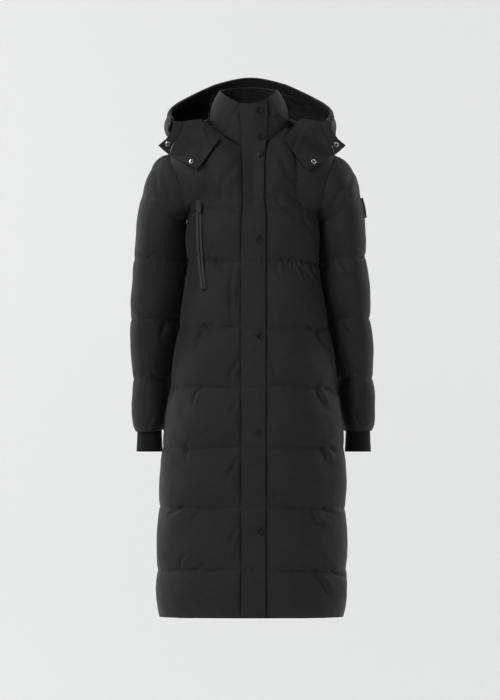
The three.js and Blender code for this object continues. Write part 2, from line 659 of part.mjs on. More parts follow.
const placketRows = [
  ...fronts[-1].outside.slice(0, TOP_ROW).map((row, r) => bridged(row, fronts[1].outside[r])),
  ...collarOutside.slice(1).map((row) => bridged([...row].reverse(), row)),
];
placketRows[0].forEach((point) => { point.z += 1; });
const placketNormals = normals(placketRows).map((row) => row.map((d) => (d.y > 0 ? d.negate() : d)));
const placketInside = moved(placketRows, placketNormals, () => GAP);
const placketOutside = moved(placketRows, placketNormals, (r, c) => GAP + PLACKET.wall - (c % 4 === 0 ? 1 : 0));
const placket = wall('placket', placketInside, placketOutside, shellCloth);

coat.updateMatrixWorld(true);
const caster = new THREE.Raycaster();

function frontOf(targets, x, height) {
  // foremost y of the targets at a place seen face on, or null beside them
  caster.set(V(x, -1000, height), V(0, 1, 0));
  const hit = caster.intersectObjects(targets)[0];
  return hit ? hit.point.y : null;
}

function foremost(targets, x, height, reach) {
  const spots = [[0, 0], [reach, 0], [-reach, 0], [0, reach], [0, -reach]];
  const found = spots.map(([dx, dz]) => frontOf(targets, x + dx, height + dz)).filter((y) => y !== null);
  return found.length ? Math.min(...found) : null;
}

// hood shell and the band round its opening, from one surface
function hoodPoint(turn, share) {
  // turn runs from the right shoulder over the back (90) to the left; share from rim to neck
  const folded = turn > 90 ? 180 - turn : turn;
  const stops = [0, 1, 2, 3, 4, 5].map((stop) => V(
    lookup(HOOD, 'turn', `out${stop}`, folded), lookup(HOOD, 'turn', `up${stop}`, folded), 0));
  const path = new THREE.CatmullRomCurve3(stops, false, 'centripetal').getPointAt(share);
  const radians = THREE.MathUtils.degToRad(turn);
  const middle = NECK.x * mix(0.5, 1, share);
  return V(middle - path.x * Math.cos(radians), path.x * Math.sin(radians), path.y);
}

function hoodTurn(turn, share) {
  // the two front edges lie in one upright plane, just behind the flaps
  if (turn >= 0 && turn <= 180) return turn;
  const edge = hoodPoint(turn < 0 ? 0 : 180, share);
  const reach = Math.abs(edge.x - NECK.x * mix(0.5, 1, share));
  const back = THREE.MathUtils.radToDeg(Math.asin(HOOD_EDGE / reach));
  return turn < 0 ? -back : 180 + back;
}

function hoodGrid(from, to, columns, shares) {
  return shares.map((share) => {
    const [first, last] = [hoodTurn(from, share), hoodTurn(to, share)];
    return Array.from({ length: columns }, (_, c) => hoodPoint(mix(first, last, c / (columns - 1)), share));
  });
}

function hoodNormals(grid) {
  // away from the inside of the hood, which lies between its rim and the collar
  return normals(grid).map((row, r) => row.map((direction, c) => {
    const point = grid[r][c];
    const flat = Math.hypot(point.x, point.y);
    const hollow = V(point.x, point.y, 0).multiplyScalar(150 / flat).setZ(1175);
    return direction.dot(point.clone().sub(hollow)) < 0 ? direction.negate() : direction;
  }));
}

const HOOD_SHARES = [HOOD_BAND.share + 0.0015, 0.2, 0.32, 0.44, 0.56, 0.68, 0.8, 0.9, 1];
const hoodMeshes = [];
for (const panel of HOOD_PANELS) {
  const grid = hoodGrid(panel.from, panel.to, panel.columns, HOOD_SHARES);
  const directions = hoodNormals(grid);
  const outside = moved(grid, directions, (r, c) => {
    const across = Math.sin((Math.PI * c) / (panel.columns - 1)) ** 0.5;
    const down = Math.sin((Math.PI * r) / (HOOD_SHARES.length - 1)) ** 0.5;
    return HOOD_WALL + HOOD_PUFF * across * down;
  });
  hoodMeshes.push(wall(panel.name, grid, outside, shellCloth));
}

const bandShares = [0, HOOD_BAND.share / 2, HOOD_BAND.share];
const bandParts = HOOD_PANELS.map((panel) => hoodGrid(panel.from, panel.to, panel.columns, bandShares));
const bandGrid = bandShares.map((_, r) => bandParts.flatMap((part) => part[r]));
const bandOutside = moved(bandGrid, hoodNormals(bandGrid), (r) => (r === 1 ? HOOD_BAND.wall : HOOD_BAND.wall - 3));
wall('hood_band', bandGrid, bandOutside, shellCloth);

// front flaps and band ends, laid over the shoulders and sleeves
function laid(side, table, columns, edge, middleWall) {
  const targets = [fronts[side].mesh, sleeves[side].mesh, backMesh];
  const shares = Array.from({ length: columns }, (_, c) => c / (columns - 1));
  const spots = table.map((row) => shares.map((share) => V(
    FLAP_MIDDLE + side * mix(row.outer_x, row.inner_x, share) - side * FLAP_MIDDLE * side,
    0, mix(row.outer_height, row.inner_height, share))));
  const resting = spots.map((row) => row.map((spot) => foremost(targets, spot.x, spot.z, 7)));
  // above the shoulder the flap turns back over it
  const inside = spots.map((row, r) => row.map((spot, c) => {
    const below = resting.slice(r).map((line) => line[c]).find((y) => y !== null) ?? -60;
    const y = resting[r][c] ?? Math.min(below, -34);
    return V(spot.x, Math.min(y, -34) - LAY_GAP, spot.z);
  }));
  const outside = inside.map((row, r) => row.map((point, c) => {
    const across = Math.sin(Math.PI * shares[c]) ** 0.5;
    const down = Math.sin((Math.PI * r) / (table.length - 1)) ** 0.5;
    const thick = mix(edge, middleWall, Math.min(across, down + 0.3));
    return point.clone().add(V(0, -thick, thick * 0.15));
  }));
  return { inside, outside };
}

for (const side of [-1, 1]) {
  const word = side < 0 ? 'right' : 'left';
  const flap = laid(side, FLAP, 6, FLAP_WALL.edge, FLAP_WALL.middle);
  wall(`hood_flap_${word}`, flap.inside, flap.outside, shellCloth);
  const endInside = BAND_END.map((row, r) => {
    const inner = flap.inside[r][0].clone().add(V(side * 2 * GAP, 0, 0));
    const outer = V(side * row.x, inner.y - 0.5, row.height);
    return [outer, outer.clone().lerp(inner, 0.5), inner];
  });
  const endOutside = endInside.map((row) => row.map((point, c) => (
    point.clone().add(V(0, c === 1 ? -BAND_END_WALL : 1.5 - BAND_END_WALL, 0)))));
  wall(`hood_band_end_${word}`, endInside, endOutside, shellCloth);
}

// snap caps down the placket and ring snaps on the hood flaps
function facing(mesh, x, height, targets, gap, span) {
  // set a turned piece, whose axis is its own +Y, against the cloth and square to it
  const y = frontOf(targets, x, height);
  const tiltX = (frontOf(targets, x + span, height) - frontOf(targets, x - span, height)) / (2 * span);
  const tiltZ = (frontOf(targets, x, height + span) - frontOf(targets, x, height - span)) / (2 * span);
  const normal = V(tiltX, -1, tiltZ).normalize();
  mesh.quaternion.setFromUnitVectors(V(0, 1, 0), normal);
  mesh.position.copy(V(x, y, height).addScaledVector(normal, gap));
}

function capProfile() {
  const { radius, height } = SNAP_CAP;
  return [[0, 0], [radius - 0.6, 0], [radius, 0.8], [radius - 0.4, height - 0.4], [radius - 1.6, height],
    [radius - 2.4, height - 0.5], [0, height - 0.2]].map(([r, y]) => new THREE.Vector2(r, y));
}

coat.updateMatrixWorld(true);
SNAPS.forEach((snap, index) => {
  const cap = addSolid(`snap_cap_${index + 1}`, new THREE.LatheGeometry(capProfile(), 16), capMetal);
  facing(cap, snap.x, snap.height, [placket], snap.gap, 5);
});

function ringProfile(ring) {
  const { outer, inner, height } = ring;
  return [[inner, 0], [outer - 0.5, 0], [outer, height * 0.5], [outer - 1.2, height],
    [inner + 0.6, height * 0.85], [inner, 0]].map(([r, y]) => new THREE.Vector2(r, y));
}

for (const spot of RING_SPOTS) {
  const word = spot.x < 0 ? 'right' : 'left';
  const carrier = coat.getObjectByName(`hood_${spot.name.includes('flap') ? 'flap' : 'band_end'}_${word}`);
  const geometry = new THREE.LatheGeometry(ringProfile(RING_SNAP), 16);
  facing(addSolid(spot.name, geometry, brightMetal), spot.x, spot.height, [carrier], 0.4, 2);
}

// chest pocket zip on the right front: two welts and the closed coil between them
const pocketTargets = [fronts[-1].mesh];
const zipEnds = [POCKET_ZIP[0].height, POCKET_ZIP[POCKET_ZIP.length - 1].height];
const zipSpots = Array.from({ length: ZIP_ROWS }, (_, i) => {
  const height = mix(zipEnds[0], zipEnds[1], i / (ZIP_ROWS - 1));
  const x = lookup(POCKET_ZIP, 'height', 'x', height);
  return V(x, foremost(pocketTargets, x, height, 8), height);
});
const zipLine = zipSpots.map((spot, i) => {
  const before = zipSpots[Math.max(i - 1, 0)];
  const after = zipSpots[Math.min(i + 1, zipSpots.length - 1)];
  return V(spot.x, Math.min(spot.y, (before.y + after.y) / 2) - 1.5 * GAP, spot.z);
});

function zipStrip(name, from, to, thick, material) {
  const inside = zipLine.map((spot) => [from, to].map((dx) => spot.clone().add(V(dx, 0, 0))));
  const outside = zipLine.map((spot) => [from, to].map((dx) => (
    spot.clone().add(V(dx + (dx < (from + to) / 2 ? 0.4 : -0.4), -thick, 0)))));
  return wall(name, inside, outside, material);
}

const coilHalf = WELT.coil / 2;
zipStrip('pocket_welt_outer', -coilHalf - GAP - WELT.wide, -coilHalf - GAP, WELT.wall, zipTape);
zipStrip('pocket_welt_inner', coilHalf + GAP, coilHalf + GAP + WELT.wide, WELT.wall, zipTape);
const coil = zipStrip('pocket_zip_coil', -coilHalf, coilHalf, 1.4, zipTape);

// zip slider with its bridge, and the pull tab that hangs from the bridge
const wasm = await Module();
wasm.setup();

function toManifold(geometry) {
  const plain = geometry.clone();
  plain.deleteAttribute('normal');
  plain.deleteAttribute('uv');
  const merged = mergeVertices(plain, 1e-4);
  const vertProperties = new Float32Array(merged.attributes.position.array);
  return new wasm.Manifold(new wasm.Mesh({ numProp: 3, vertProperties, triVerts: new Uint32Array(merged.index.array) }));
}

function fromManifold(solid) {
  const mesh = solid.getMesh();
  const geometry = new THREE.BufferGeometry();
  geometry.setAttribute('position', new THREE.BufferAttribute(new Float32Array(mesh.vertProperties), 3));
  geometry.setIndex([...mesh.triVerts]);
  geometry.computeVertexNormals();
  return geometry;
}

function box(wide, deep, tall, x, y, z) {
  return toManifold(new THREE.BoxGeometry(wide, deep, tall).translate(x, y, z));
}

coat.updateMatrixWorld(true);
const sliderFace = foremost([...pocketTargets, coil, coat.getObjectByName('pocket_welt_outer'),
  coat.getObjectByName('pocket_welt_inner')], SLIDER.x, SLIDER.height, 5.5) - 2 * GAP;
const sliderMiddle = sliderFace - SLIDER.thick / 2;
const archTop = sliderFace - SLIDER.thick - SLIDER.arch;
const legHeight = SLIDER.arch + 0.6;
const legMiddle = archTop + legHeight / 2;
const legSpread = 3.7;
let slider = box(SLIDER.wide, SLIDER.thick, SLIDER.tall, 0, sliderMiddle, 0);
slider = slider.add(box(SLIDER.bridge, legHeight, 1.4, 0, legMiddle, legSpread));
slider = slider.add(box(SLIDER.bridge, legHeight, 1.4, 0, legMiddle, -legSpread));
slider = slider.add(box(SLIDER.bridge, 1.3, legSpread * 2 + 1.4, 0, archTop + 0.65, 0));
const sliderMesh = addSolid('zip_slider', fromManifold(slider), brightMetal);
sliderMesh.position.set(SLIDER.x, 0, SLIDER.height);

const barY = archTop + 1.3 + 0.35 + SLIDER.bar / 2;
const side = PULL.wide / 2;
const outline = new THREE.Shape();
outline.moveTo(-side, SLIDER.bar / 2);
outline.lineTo(side, SLIDER.bar / 2);
outline.lineTo(side, 3 - PULL.long);
outline.lineTo(side - 1.5, 1 - PULL.long);
outline.lineTo(1.5 - side, 1 - PULL.long);
outline.lineTo(-side, 3 - PULL.long);
outline.closePath();
const windowHalf = PULL.window / 2;
const hole = new THREE.Path();
hole.moveTo(-windowHalf, -SLIDER.bar / 2);
hole.lineTo(-windowHalf, -PULL.window_long);
hole.lineTo(windowHalf, -PULL.window_long);
hole.lineTo(windowHalf, -SLIDER.bar / 2);
hole.closePath();
outline.holes.push(hole);
const pullGeometry = new THREE.ExtrudeGeometry(outline, { depth: PULL.thick, bevelEnabled: false });
pullGeometry.translate(0, 0, -PULL.thick / 2);
pullGeometry.rotateX(Math.PI / 2);
const pull = addSolid('zip_pull', pullGeometry, brightMetal);
pull.position.set(SLIDER.x, barY, SLIDER.height);
// the pull rests against the zip below it, which stands a little further forward
const pullRest = foremost([coil, coat.getObjectByName('pocket_welt_outer'),
  coat.getObjectByName('pocket_welt_inner')], SLIDER.x, SLIDER.height - PULL.long, 2) - PULL.thick;
pull.rotation.x = -Math.asin(Math.max(0, barY - pullRest) / PULL.long);

// small eyelet at the right side of the waist
function sideOf(mesh, y, height, direction) {
  caster.set(V(direction * 1000, y, height), V(-direction, 0, 0));
  return caster.intersectObject(mesh)[0].point.x;
}

const eyeletY = -16;
const eyelet = addSolid('waist_eyelet', new THREE.LatheGeometry(ringProfile(
  { outer: EYELET.outer, inner: EYELET.inner, height: EYELET.thick }), 12), brightMetal);
eyelet.rotation.z = Math.PI / 2;
eyelet.position.set(sideOf(fronts[-1].mesh, eyeletY, EYELET.height, -1) - 0.8, eyeletY, EYELET.height);

// blank patch on the outside of the left sleeve
const patchRows = [-0.5, -0.25, 0, 0.25, 0.5].map((up) => [-0.5, -0.25, 0, 0.25, 0.5].map((over) => {
  const height = PATCH.height + up * PATCH.tall;
  const y = 12 + over * PATCH.wide;
  return V(sideOf(sleeves[1].mesh, y, height, 1), y, height);
}));
const patchInside = patchRows.map((row) => row.map((point) => point.clone().add(V(1.7, 0, 0))));
const patchOutside = patchInside.map((row) => row.map((point) => point.clone().add(V(PATCH.wall, 0, 0))));
wall('sleeve_patch', patchInside, patchOutside, shellCloth);

coat.position.z = -HOLD_HEIGHT;

export default coat;
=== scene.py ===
import math

import bmesh
import bpy
import numpy as np
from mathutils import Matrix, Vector
from mathutils.bvhtree import BVHTree
from mathutils.kdtree import KDTree


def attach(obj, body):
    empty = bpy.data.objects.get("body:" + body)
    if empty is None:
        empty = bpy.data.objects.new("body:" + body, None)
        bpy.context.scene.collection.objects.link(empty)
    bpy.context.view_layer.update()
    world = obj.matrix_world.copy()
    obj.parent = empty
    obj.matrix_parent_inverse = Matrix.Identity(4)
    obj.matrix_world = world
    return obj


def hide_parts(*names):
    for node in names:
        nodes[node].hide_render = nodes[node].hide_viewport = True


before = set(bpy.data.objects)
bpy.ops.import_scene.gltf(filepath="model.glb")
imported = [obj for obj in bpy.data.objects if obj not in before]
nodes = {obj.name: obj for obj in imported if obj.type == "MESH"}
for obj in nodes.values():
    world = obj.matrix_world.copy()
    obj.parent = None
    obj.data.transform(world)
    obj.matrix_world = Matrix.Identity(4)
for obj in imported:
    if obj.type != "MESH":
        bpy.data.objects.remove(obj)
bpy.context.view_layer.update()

# Camera: straight on to the front of the coat, from far off, as in the photograph.
# The coat fills the frame from the hood's rim down to the hem.
HEM = -1.098  # the hem's height in the frame, in metres: tables give heights above it in mm
CAMERA_ASIDE = -0.0046
CAMERA_FAR = 20.0
CAMERA_RISE = 615
FRAME_TALL = 1.615
SENSOR = 36
camera = bpy.data.objects.new("camera", bpy.data.cameras.new("camera"))
bpy.context.scene.collection.objects.link(camera)
camera.location = (CAMERA_ASIDE, -CAMERA_FAR, HEM + CAMERA_RISE / 1000)
camera.rotation_euler = (math.pi / 2, 0, 0)
camera.data.sensor_width = SENSOR
camera.data.lens = SENSOR * CAMERA_FAR / FRAME_TALL
bpy.context.scene.camera = camera

# Front panels: matte black woven polyester over padding, quilted in level channels.
# Each is cut in one piece from the zip to the side seam, and sewn at the side and shoulder.
SHELL_DARK = (0.0105, 0.0102, 0.0105, 1)
SHELL_LIGHT = (0.0158, 0.0153, 0.0157, 1)
LINING_DARK = (0.0070, 0.0068, 0.0070, 1)
LINING_LIGHT = (0.0150, 0.0147, 0.0150, 1)
CLOTH_SHINE = 0.22
SHEEN_SPREAD = 0.55
DYE_PATCHES = 9  # patches to the metre, like the next two
SHINE_PATCHES = 35
CRINKLES = 70
SHINE_RANGE = 0.07
BANDS_TO_METRE = 0.314  # the scale that gives the wave texture one band in each metre
WEAVE_DEPTH = 0.12
RELIEF_METRES = 0.0012
RELIEF_STRENGTH = 0.7


def woven(name, dark, light, roughness, weave_mm, crinkle, sheen):
    """Plain woven cloth: crossed threads, soft crinkles and slightly uneven dye."""
    material = bpy.data.materials.new(name)
    material.use_nodes = True
    tree = material.node_tree
    shader = tree.nodes["Principled BSDF"]
    shader.inputs["Sheen Weight"].default_value = sheen
    shader.inputs["Sheen Roughness"].default_value = SHEEN_SPREAD
    shader.inputs["Specular IOR Level"].default_value = CLOTH_SHINE
    place = tree.nodes.new("ShaderNodeTexCoord")

    def cloud(scale, detail):
        texture = tree.nodes.new("ShaderNodeTexNoise")
        texture.inputs["Scale"].default_value = scale
        texture.inputs["Detail"].default_value = detail
        tree.links.new(place.outputs["Object"], texture.inputs["Vector"])
        return texture.outputs["Fac"]

    def threads(direction):
        wave = tree.nodes.new("ShaderNodeTexWave")
        wave.bands_direction = direction
        wave.inputs["Scale"].default_value = BANDS_TO_METRE / (weave_mm / 1000)
        wave.inputs["Distortion"].default_value = 0.6
        tree.links.new(place.outputs["Object"], wave.inputs["Vector"])
        return wave.outputs["Fac"]

    def maths(operation, first, second):
        node = tree.nodes.new("ShaderNodeMath")
        node.operation = operation
        tree.links.new(first, node.inputs[0])
        if isinstance(second, float):
            node.inputs[1].default_value = second
        else:
            tree.links.new(second, node.inputs[1])
        return node.outputs[0]

    dye = tree.nodes.new("ShaderNodeMix")
    dye.data_type = "RGBA"
    dye.inputs["A"].default_value = dark
    dye.inputs["B"].default_value = light
    tree.links.new(cloud(DYE_PATCHES, 4), dye.inputs["Factor"])
    tree.links.new(dye.outputs["Result"], shader.inputs["Base Color"])
    polish = tree.nodes.new("ShaderNodeMapRange")
    polish.inputs["To Min"].default_value = roughness - SHINE_RANGE
    polish.inputs["To Max"].default_value = roughness + SHINE_RANGE
    tree.links.new(cloud(SHINE_PATCHES, 3), polish.inputs["Value"])
    tree.links.new(polish.outputs["Result"], shader.inputs["Roughness"])
    weave = maths("MULTIPLY", maths("ADD", threads("X"), threads("Z")), WEAVE_DEPTH)
    folds = maths("MULTIPLY", cloud(CRINKLES, 3), crinkle)
    bump = tree.nodes.new("ShaderNodeBump")
    bump.inputs["Distance"].default_value = RELIEF_METRES
    bump.inputs["Strength"].default_value = RELIEF_STRENGTH
    tree.links.new(maths("ADD", weave, folds), bump.inputs["Height"])
    tree.links.new(bump.outputs["Normal"], shader.inputs["Normal"])
    return material


shell_cloth = woven("shell_cloth", SHELL_DARK, SHELL_LIGHT, 0.62, 0.7, 1.0, 0.04)
lining_cloth = woven("lining_cloth", LINING_DARK, LINING_LIGHT, 0.72, 0.5, 0.8, 0.02)


CELLS = 64


def uneven(u, v, seed):
    """Smooth unevenness between -1 and 1 over a plane of unit cells, the same on each run."""
    grid = np.random.default_rng(seed).uniform(-1, 1, (CELLS, CELLS))
    cell_u, cell_v = np.floor(u).astype(int), np.floor(v).astype(int)
    part_u, part_v = u - cell_u, v - cell_v
    part_u = part_u * part_u * (3 - 2 * part_u)
    part_v = part_v * part_v * (3 - 2 * part_v)

    def at(i, j):
        return grid[(cell_u + i) % CELLS, (cell_v + j) % CELLS]

    low = at(0, 0) * (1 - part_u) + at(1, 0) * part_u
    high = at(0, 1) * (1 - part_u) + at(1, 1) * part_u
    return low * (1 - part_v) + high * part_v


SEAM_BEND = 9  # degrees: a hollow edge that bends more than this is a line of stitches
SEAM_BEND_FULL = 28  # degrees: an edge that bends this much would be quite sharp
SEAM_SHARPEST = 0.9
SAME_POINT = 2e-5
CUT_EDGE = 50  # degrees: an edge that bends more than this is cut or folded sharp
PANEL_ROUNDING = 3  # how many times each face is split in four as a form is rounded
SMALL_ROUNDING = 2
PAIR_BEND = 1.2  # how unlike a flat, square face two triangles may be and still join
PAIR_SKEW = 1.4


def form_of(node, levels=PANEL_ROUNDING, sharp=CUT_EDGE):
    """The node's form as four-sided faces, rounded, with cut edges and stitched lines crisp."""
    sheet = bmesh.new()
    sheet.from_mesh(nodes[node].data)
    bmesh.ops.remove_doubles(sheet, verts=sheet.verts, dist=SAME_POINT)
    bmesh.ops.join_triangles(sheet, faces=sheet.faces, angle_face_threshold=PAIR_BEND,
                             angle_shape_threshold=PAIR_SKEW)
    crease = sheet.edges.layers.float.new("crease_edge")
    for edge in sheet.edges:
        bend = math.degrees(edge.calc_face_angle_signed(0))
        if abs(bend) > sharp:
            edge[crease] = 1
        elif bend < -SEAM_BEND:
            edge[crease] = min(SEAM_SHARPEST, -bend / SEAM_BEND_FULL)
    mesh = bpy.data.meshes.new(node)
    sheet.to_mesh(mesh)
    sheet.free()
    piece = bpy.data.objects.new(node + "_cloth", mesh)
    bpy.context.scene.collection.objects.link(piece)
    rounding = piece.modifiers.new("rounding", "SUBSURF")
    rounding.levels = rounding.render_levels = levels
    rounding.boundary_smooth = "PRESERVE_CORNERS"
    smooth = bpy.data.meshes.new_from_object(piece.evaluated_get(bpy.context.evaluated_depsgraph_get()))
    piece.modifiers.clear()
    piece.data = smooth
    smooth.polygons.foreach_set("use_smooth", [True] * len(smooth.polygons))
    return piece


def read(piece):
    """Points in mm, with heights above the hem, and normals of a piece."""
    count = len(piece.data.vertices)
    points, normals = np.empty(count * 3), np.empty(count * 3)
    piece.data.vertices.foreach_get("co", points)
    piece.data.vertex_normals.foreach_get("vector", normals)
    points = points.reshape(-1, 3) * 1000
    points[:, 2] -= HEM * 1000
    return points, normals.reshape(-1, 3)


def write(piece, points):
    """Put points in mm, with heights above the hem, back into a piece."""
    back = points.copy()
    back[:, 2] += HEM * 1000
    piece.data.vertices.foreach_set("co", (back / 1000).ravel())
    piece.data.update()


LINING_TURN = -0.2  # a face that turns inward more than this is lining


def dress(piece, node, away, outer, inner):
    piece.data.materials.append(outer)
    piece.data.materials.append(inner)
    count = len(piece.data.polygons)
    centres, facing = np.empty(count * 3), np.empty(count * 3)
    piece.data.polygons.foreach_get("center", centres)
    piece.data.polygons.foreach_get("normal", facing)
    centres = centres.reshape(-1, 3) * 1000
    centres[:, 2] -= HEM * 1000
    inside = (facing.reshape(-1, 3) * away(centres)).sum(1) < LINING_TURN
    piece.data.polygons.foreach_set("material_index", inside.astype(np.int32))
    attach(piece, "coat")
    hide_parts(node)
    return piece


def unit(vectors):
    """The same directions, each of length 1."""
    return vectors / np.maximum(np.linalg.norm(vectors, axis=1, keepdims=True), 1e-9)


SHOULDER_LOW = 1010
SHOULDER_RISE = 60
SHOULDER_LIFT = 120


def from_axis(points):
    """Level direction out from the body's middle line, turning upward over the shoulders."""
    way = points * [1, 1, 0]
    way[:, 2] = np.clip((points[:, 2] - SHOULDER_LOW) / SHOULDER_RISE, 0, 1) * SHOULDER_LIFT
    return unit(way)


# the shares of the stated length and width at which a crease has faded by about two thirds
CREASE_LONG = 0.85
CREASE_WIDE = 0.62
CREASE_BOW = 0.9
CREASE_WAVE = 0.35
RIDGE_HIGH = 0.45  # the ridge beside a crease: its height, its place and its width
RIDGE_ASIDE = 2.2
RIDGE_WIDE = 1.4


def pinches(points, table):
    """Depth of the listed creases, each with a soft ridge beside it."""
    depth = np.zeros(len(points))
    for x, height, lean, long, wide, deep in table:
        turn = math.radians(lean)
        dx, dz = points[:, 0] - x, points[:, 2] - height
        along = (dz * math.cos(turn) + dx * math.sin(turn)) / (long * CREASE_LONG)
        aside = (dx * math.cos(turn) - dz * math.sin(turn)) / (wide * CREASE_WIDE)
        curve = aside - CREASE_BOW * along ** 2 + CREASE_WAVE * np.sin(along * 4 + x)
        ridge = RIDGE_HIGH * np.exp(-((curve - RIDGE_ASIDE) / RIDGE_WIDE) ** 2)
        depth += deep * np.exp(-along ** 2) * (np.exp(-curve ** 2) - ridge)
    return depth


BODY_SEAMS = [109, 252, 390, 530, 666, 818]
FINE_PUCKER = 9  # about how wide the puckers are along a seam, in mm
FINE_TALL = 40
FINE_SHARE = 0.6
COARSE_PUCKER = 21
COARSE_TALL = 60
COARSE_SHARE = 0.7
PUCKER_STRETCH = 70  # about how far along a seam the gathering stays as strong


def gathers(around, height, seams, reach, deep, seed):
    """Short puckers drawn up by each line of stitches, uneven along it."""
    total = np.zeros(len(around))
    for index, seam in enumerate(seams):
        near = np.exp(-np.abs(height - seam) / reach)
        row = np.full_like(around, index + 0.5)
        strength = 0.55 + 0.45 * uneven(around / PUCKER_STRETCH, row, seed + 7)
        fine = uneven(around / FINE_PUCKER, height / FINE_TALL + index * 3, seed + index)
        coarse = uneven(around / COARSE_PUCKER, height / COARSE_TALL + index * 5, seed + 20 + index)
        total += near * strength * (FINE_SHARE * fine + COARSE_SHARE * coarse)
    return deep * total


# columns: x, height, lean from upright, length, width and depth of the crease, in mm
FRONT_CREASES = [
    (-122, 650, 27, 30, 7, 7), (-104, 668, 60, 26, 6, 4), (-131, 514, 30, 24, 6, 6),
    (-140, 527, 75, 24, 6, 3), (-152, 385, 8, 26, 7, 5), (-133, 237, 34, 20, 6, 5),
    (-170, 250, 62, 26, 7, 4), (-162, 134, 30, 22, 6, 5), (-120, 118, 68, 26, 6, 3),
    (158, 643, -22, 30, 7, 7), (140, 660, -58, 26, 6, 4), (157, 508, -22, 30, 7, 6),
    (180, 520, -66, 24, 7, 4), (168, 374, -27, 28, 7, 6), (186, 384, -70, 22, 7, 4),
    (147, 226, -38, 26, 7, 6), (176, 244, -60, 26, 7, 4), (162, 78, -35, 40, 8, 6),
    (190, 104, -50, 30, 7, 5), (-50, 740, 0, 58, 7, 6), (-38, 700, 12, 40, 6, 3),
    (-41, 576, 28, 34, 7, 5), (-47, 478, 26, 20, 6, 4), (-45, 345, 30, 34, 7, 5),
    (-44, 190, 32, 30, 7, 5), (-84, 812, 8, 22, 5, 4), (-96, 838, 20, 22, 5, 3),
    (-134, 792, 30, 26, 6, 4), (-70, 802, -14, 20, 5, 3), (96, 806, -22, 30, 6, 4),
    (112, 800, -30, 32, 6, 5), (126, 794, -34, 30, 6, 5), (84, 812, -12, 22, 5, 3),
    (140, 800, -24, 30, 6, 6), (72, 820, -8, 18, 5, 3), (60, 810, 10, 22, 6, 3),
    (46, 700, -10, 40, 8, 3), (52, 560, -24, 34, 8, 4), (50, 420, -20, 30, 8, 3),
    (58, 268, -26, 30, 8, 4), (-96, 960, 64, 40, 10, 3), (70, 948, -40, 40, 10, 3),
    (112, 955, -62, 36, 9, 3), (126, 905, -30, 36, 8, 3), (-60, 1010, 30, 60, 12, 3),
    (84, 1020, -34, 56, 12, 3), (-90, 430, 70, 36, 9, 2), (96, 600, 74, 40, 9, 2),
    (-88, 300, 80, 40, 9, 2), (100, 316, 66, 36, 9, 2), (-106, 60, 72, 40, 9, 2),
    (88, 152, -72, 36, 9, 2),
]
SEAM_DEEP = 1.6
SEAM_REACH = 4.5
SEAM_WANDER = 4.0
WANDER_TOP = 930
WANDER_FADE = 60
CHANNEL_FULL = 45  # how far from a seam the padding stands full
PADDING_LUMPS = 2.0
LUMP_WIDE = 75
LUMP_TALL = 48
SLANTING_SLACK = 0.9
SLACK_SLANT = 0.7
SLACK_WIDE = 26
SLACK_LONG = 60
WANDER_WIDE = 52
WANDER_TALL = 90
PUCKER_DEEP = 3.0
PUCKER_REACH = 17
MOST_IN = -9
MOST_OUT = 4


def quilt(points, normals, away, creases, seed, seams, around, free=1.0):
    """Push the cloth in and out along its normals where it faces outward."""
    # 1 on the outer face, falling to 0 where the cloth turns in at its edges
    mask = np.clip((normals * away).sum(1) * 2.2 - 0.3, 0, 1)
    height = points[:, 2]
    nearest = np.min([np.abs(height - seam) for seam in seams], axis=0)
    full = np.clip(nearest / CHANNEL_FULL, 0, 1)
    lumps = PADDING_LUMPS * uneven(around / LUMP_WIDE, height / LUMP_TALL, seed + 50) * full
    across = (around + height * SLACK_SLANT) / SLACK_WIDE
    up = (height - around * SLACK_SLANT) / SLACK_LONG
    slanting = uneven(across, up, seed + 51)
    slack = SLANTING_SLACK * slanting * full
    wander = SEAM_WANDER * uneven(around / WANDER_WIDE, height / WANDER_TALL, seed + 60)
    wander *= np.clip(height / WANDER_FADE, 0, 1) * np.clip((WANDER_TOP - height) / WANDER_FADE, 0, 1)
    points = points + np.outer(wander, [0, 0, 1])
    groove = SEAM_DEEP * np.exp(-(nearest / SEAM_REACH) ** 2)
    puckers = gathers(around, height, seams, PUCKER_REACH, PUCKER_DEEP, seed)
    shift = np.clip(lumps + slack + puckers - pinches(points, creases) - groove, MOST_IN, MOST_OUT)
    return points + normals * (shift * mask * free)[:, None]


ZIP_LOW = 756
ZIP_HIGH = 968
ZIP_FOOT_X = -111
ZIP_BOW = 11
ZIP_BOW_RISE = 130
ZIP_REACH = 15
CAP_REACH = 14
CAP_PLACES = [(15, 1167), (19.5, 1106), (19.5, 1065), (16, 869), (17, 648.5), (16, 426.5), (19.5, 201)]


def zip_x(height):
    """Where the chest zip's middle line is at a height: it bows out and then runs upright."""
    return ZIP_FOOT_X - ZIP_BOW * math.sin(min(1, (height - ZIP_LOW) / ZIP_BOW_RISE) * math.pi / 2)


# columns: x, height and reach of a place where a fitting holds the cloth flat, in mm
ZIP_HELD = [(zip_x(height), height, ZIP_REACH) for height in range(ZIP_LOW, ZIP_HIGH, ZIP_REACH)]
CAPS_HELD = [(x, height, CAP_REACH) for x, height in CAP_PLACES]


def freedom(points, held):
    """1 where the cloth moves freely, falling to 0 under each fitting."""
    free = np.ones(len(points))
    for x, height, reach in held:
        away = ((points[:, 0] - x) ** 2 + (points[:, 2] - height) ** 2) / reach ** 2
        free *= 1 - np.exp(-away ** 2)
    return free


soft = {}
BODY_MM_EACH_DEGREE = 3.0
PLACKET_MIDDLE = 3.4
PLACKET_HALF = 26
PLACKET_FADE = 14
FRONT_SEEDS = (100, 140)
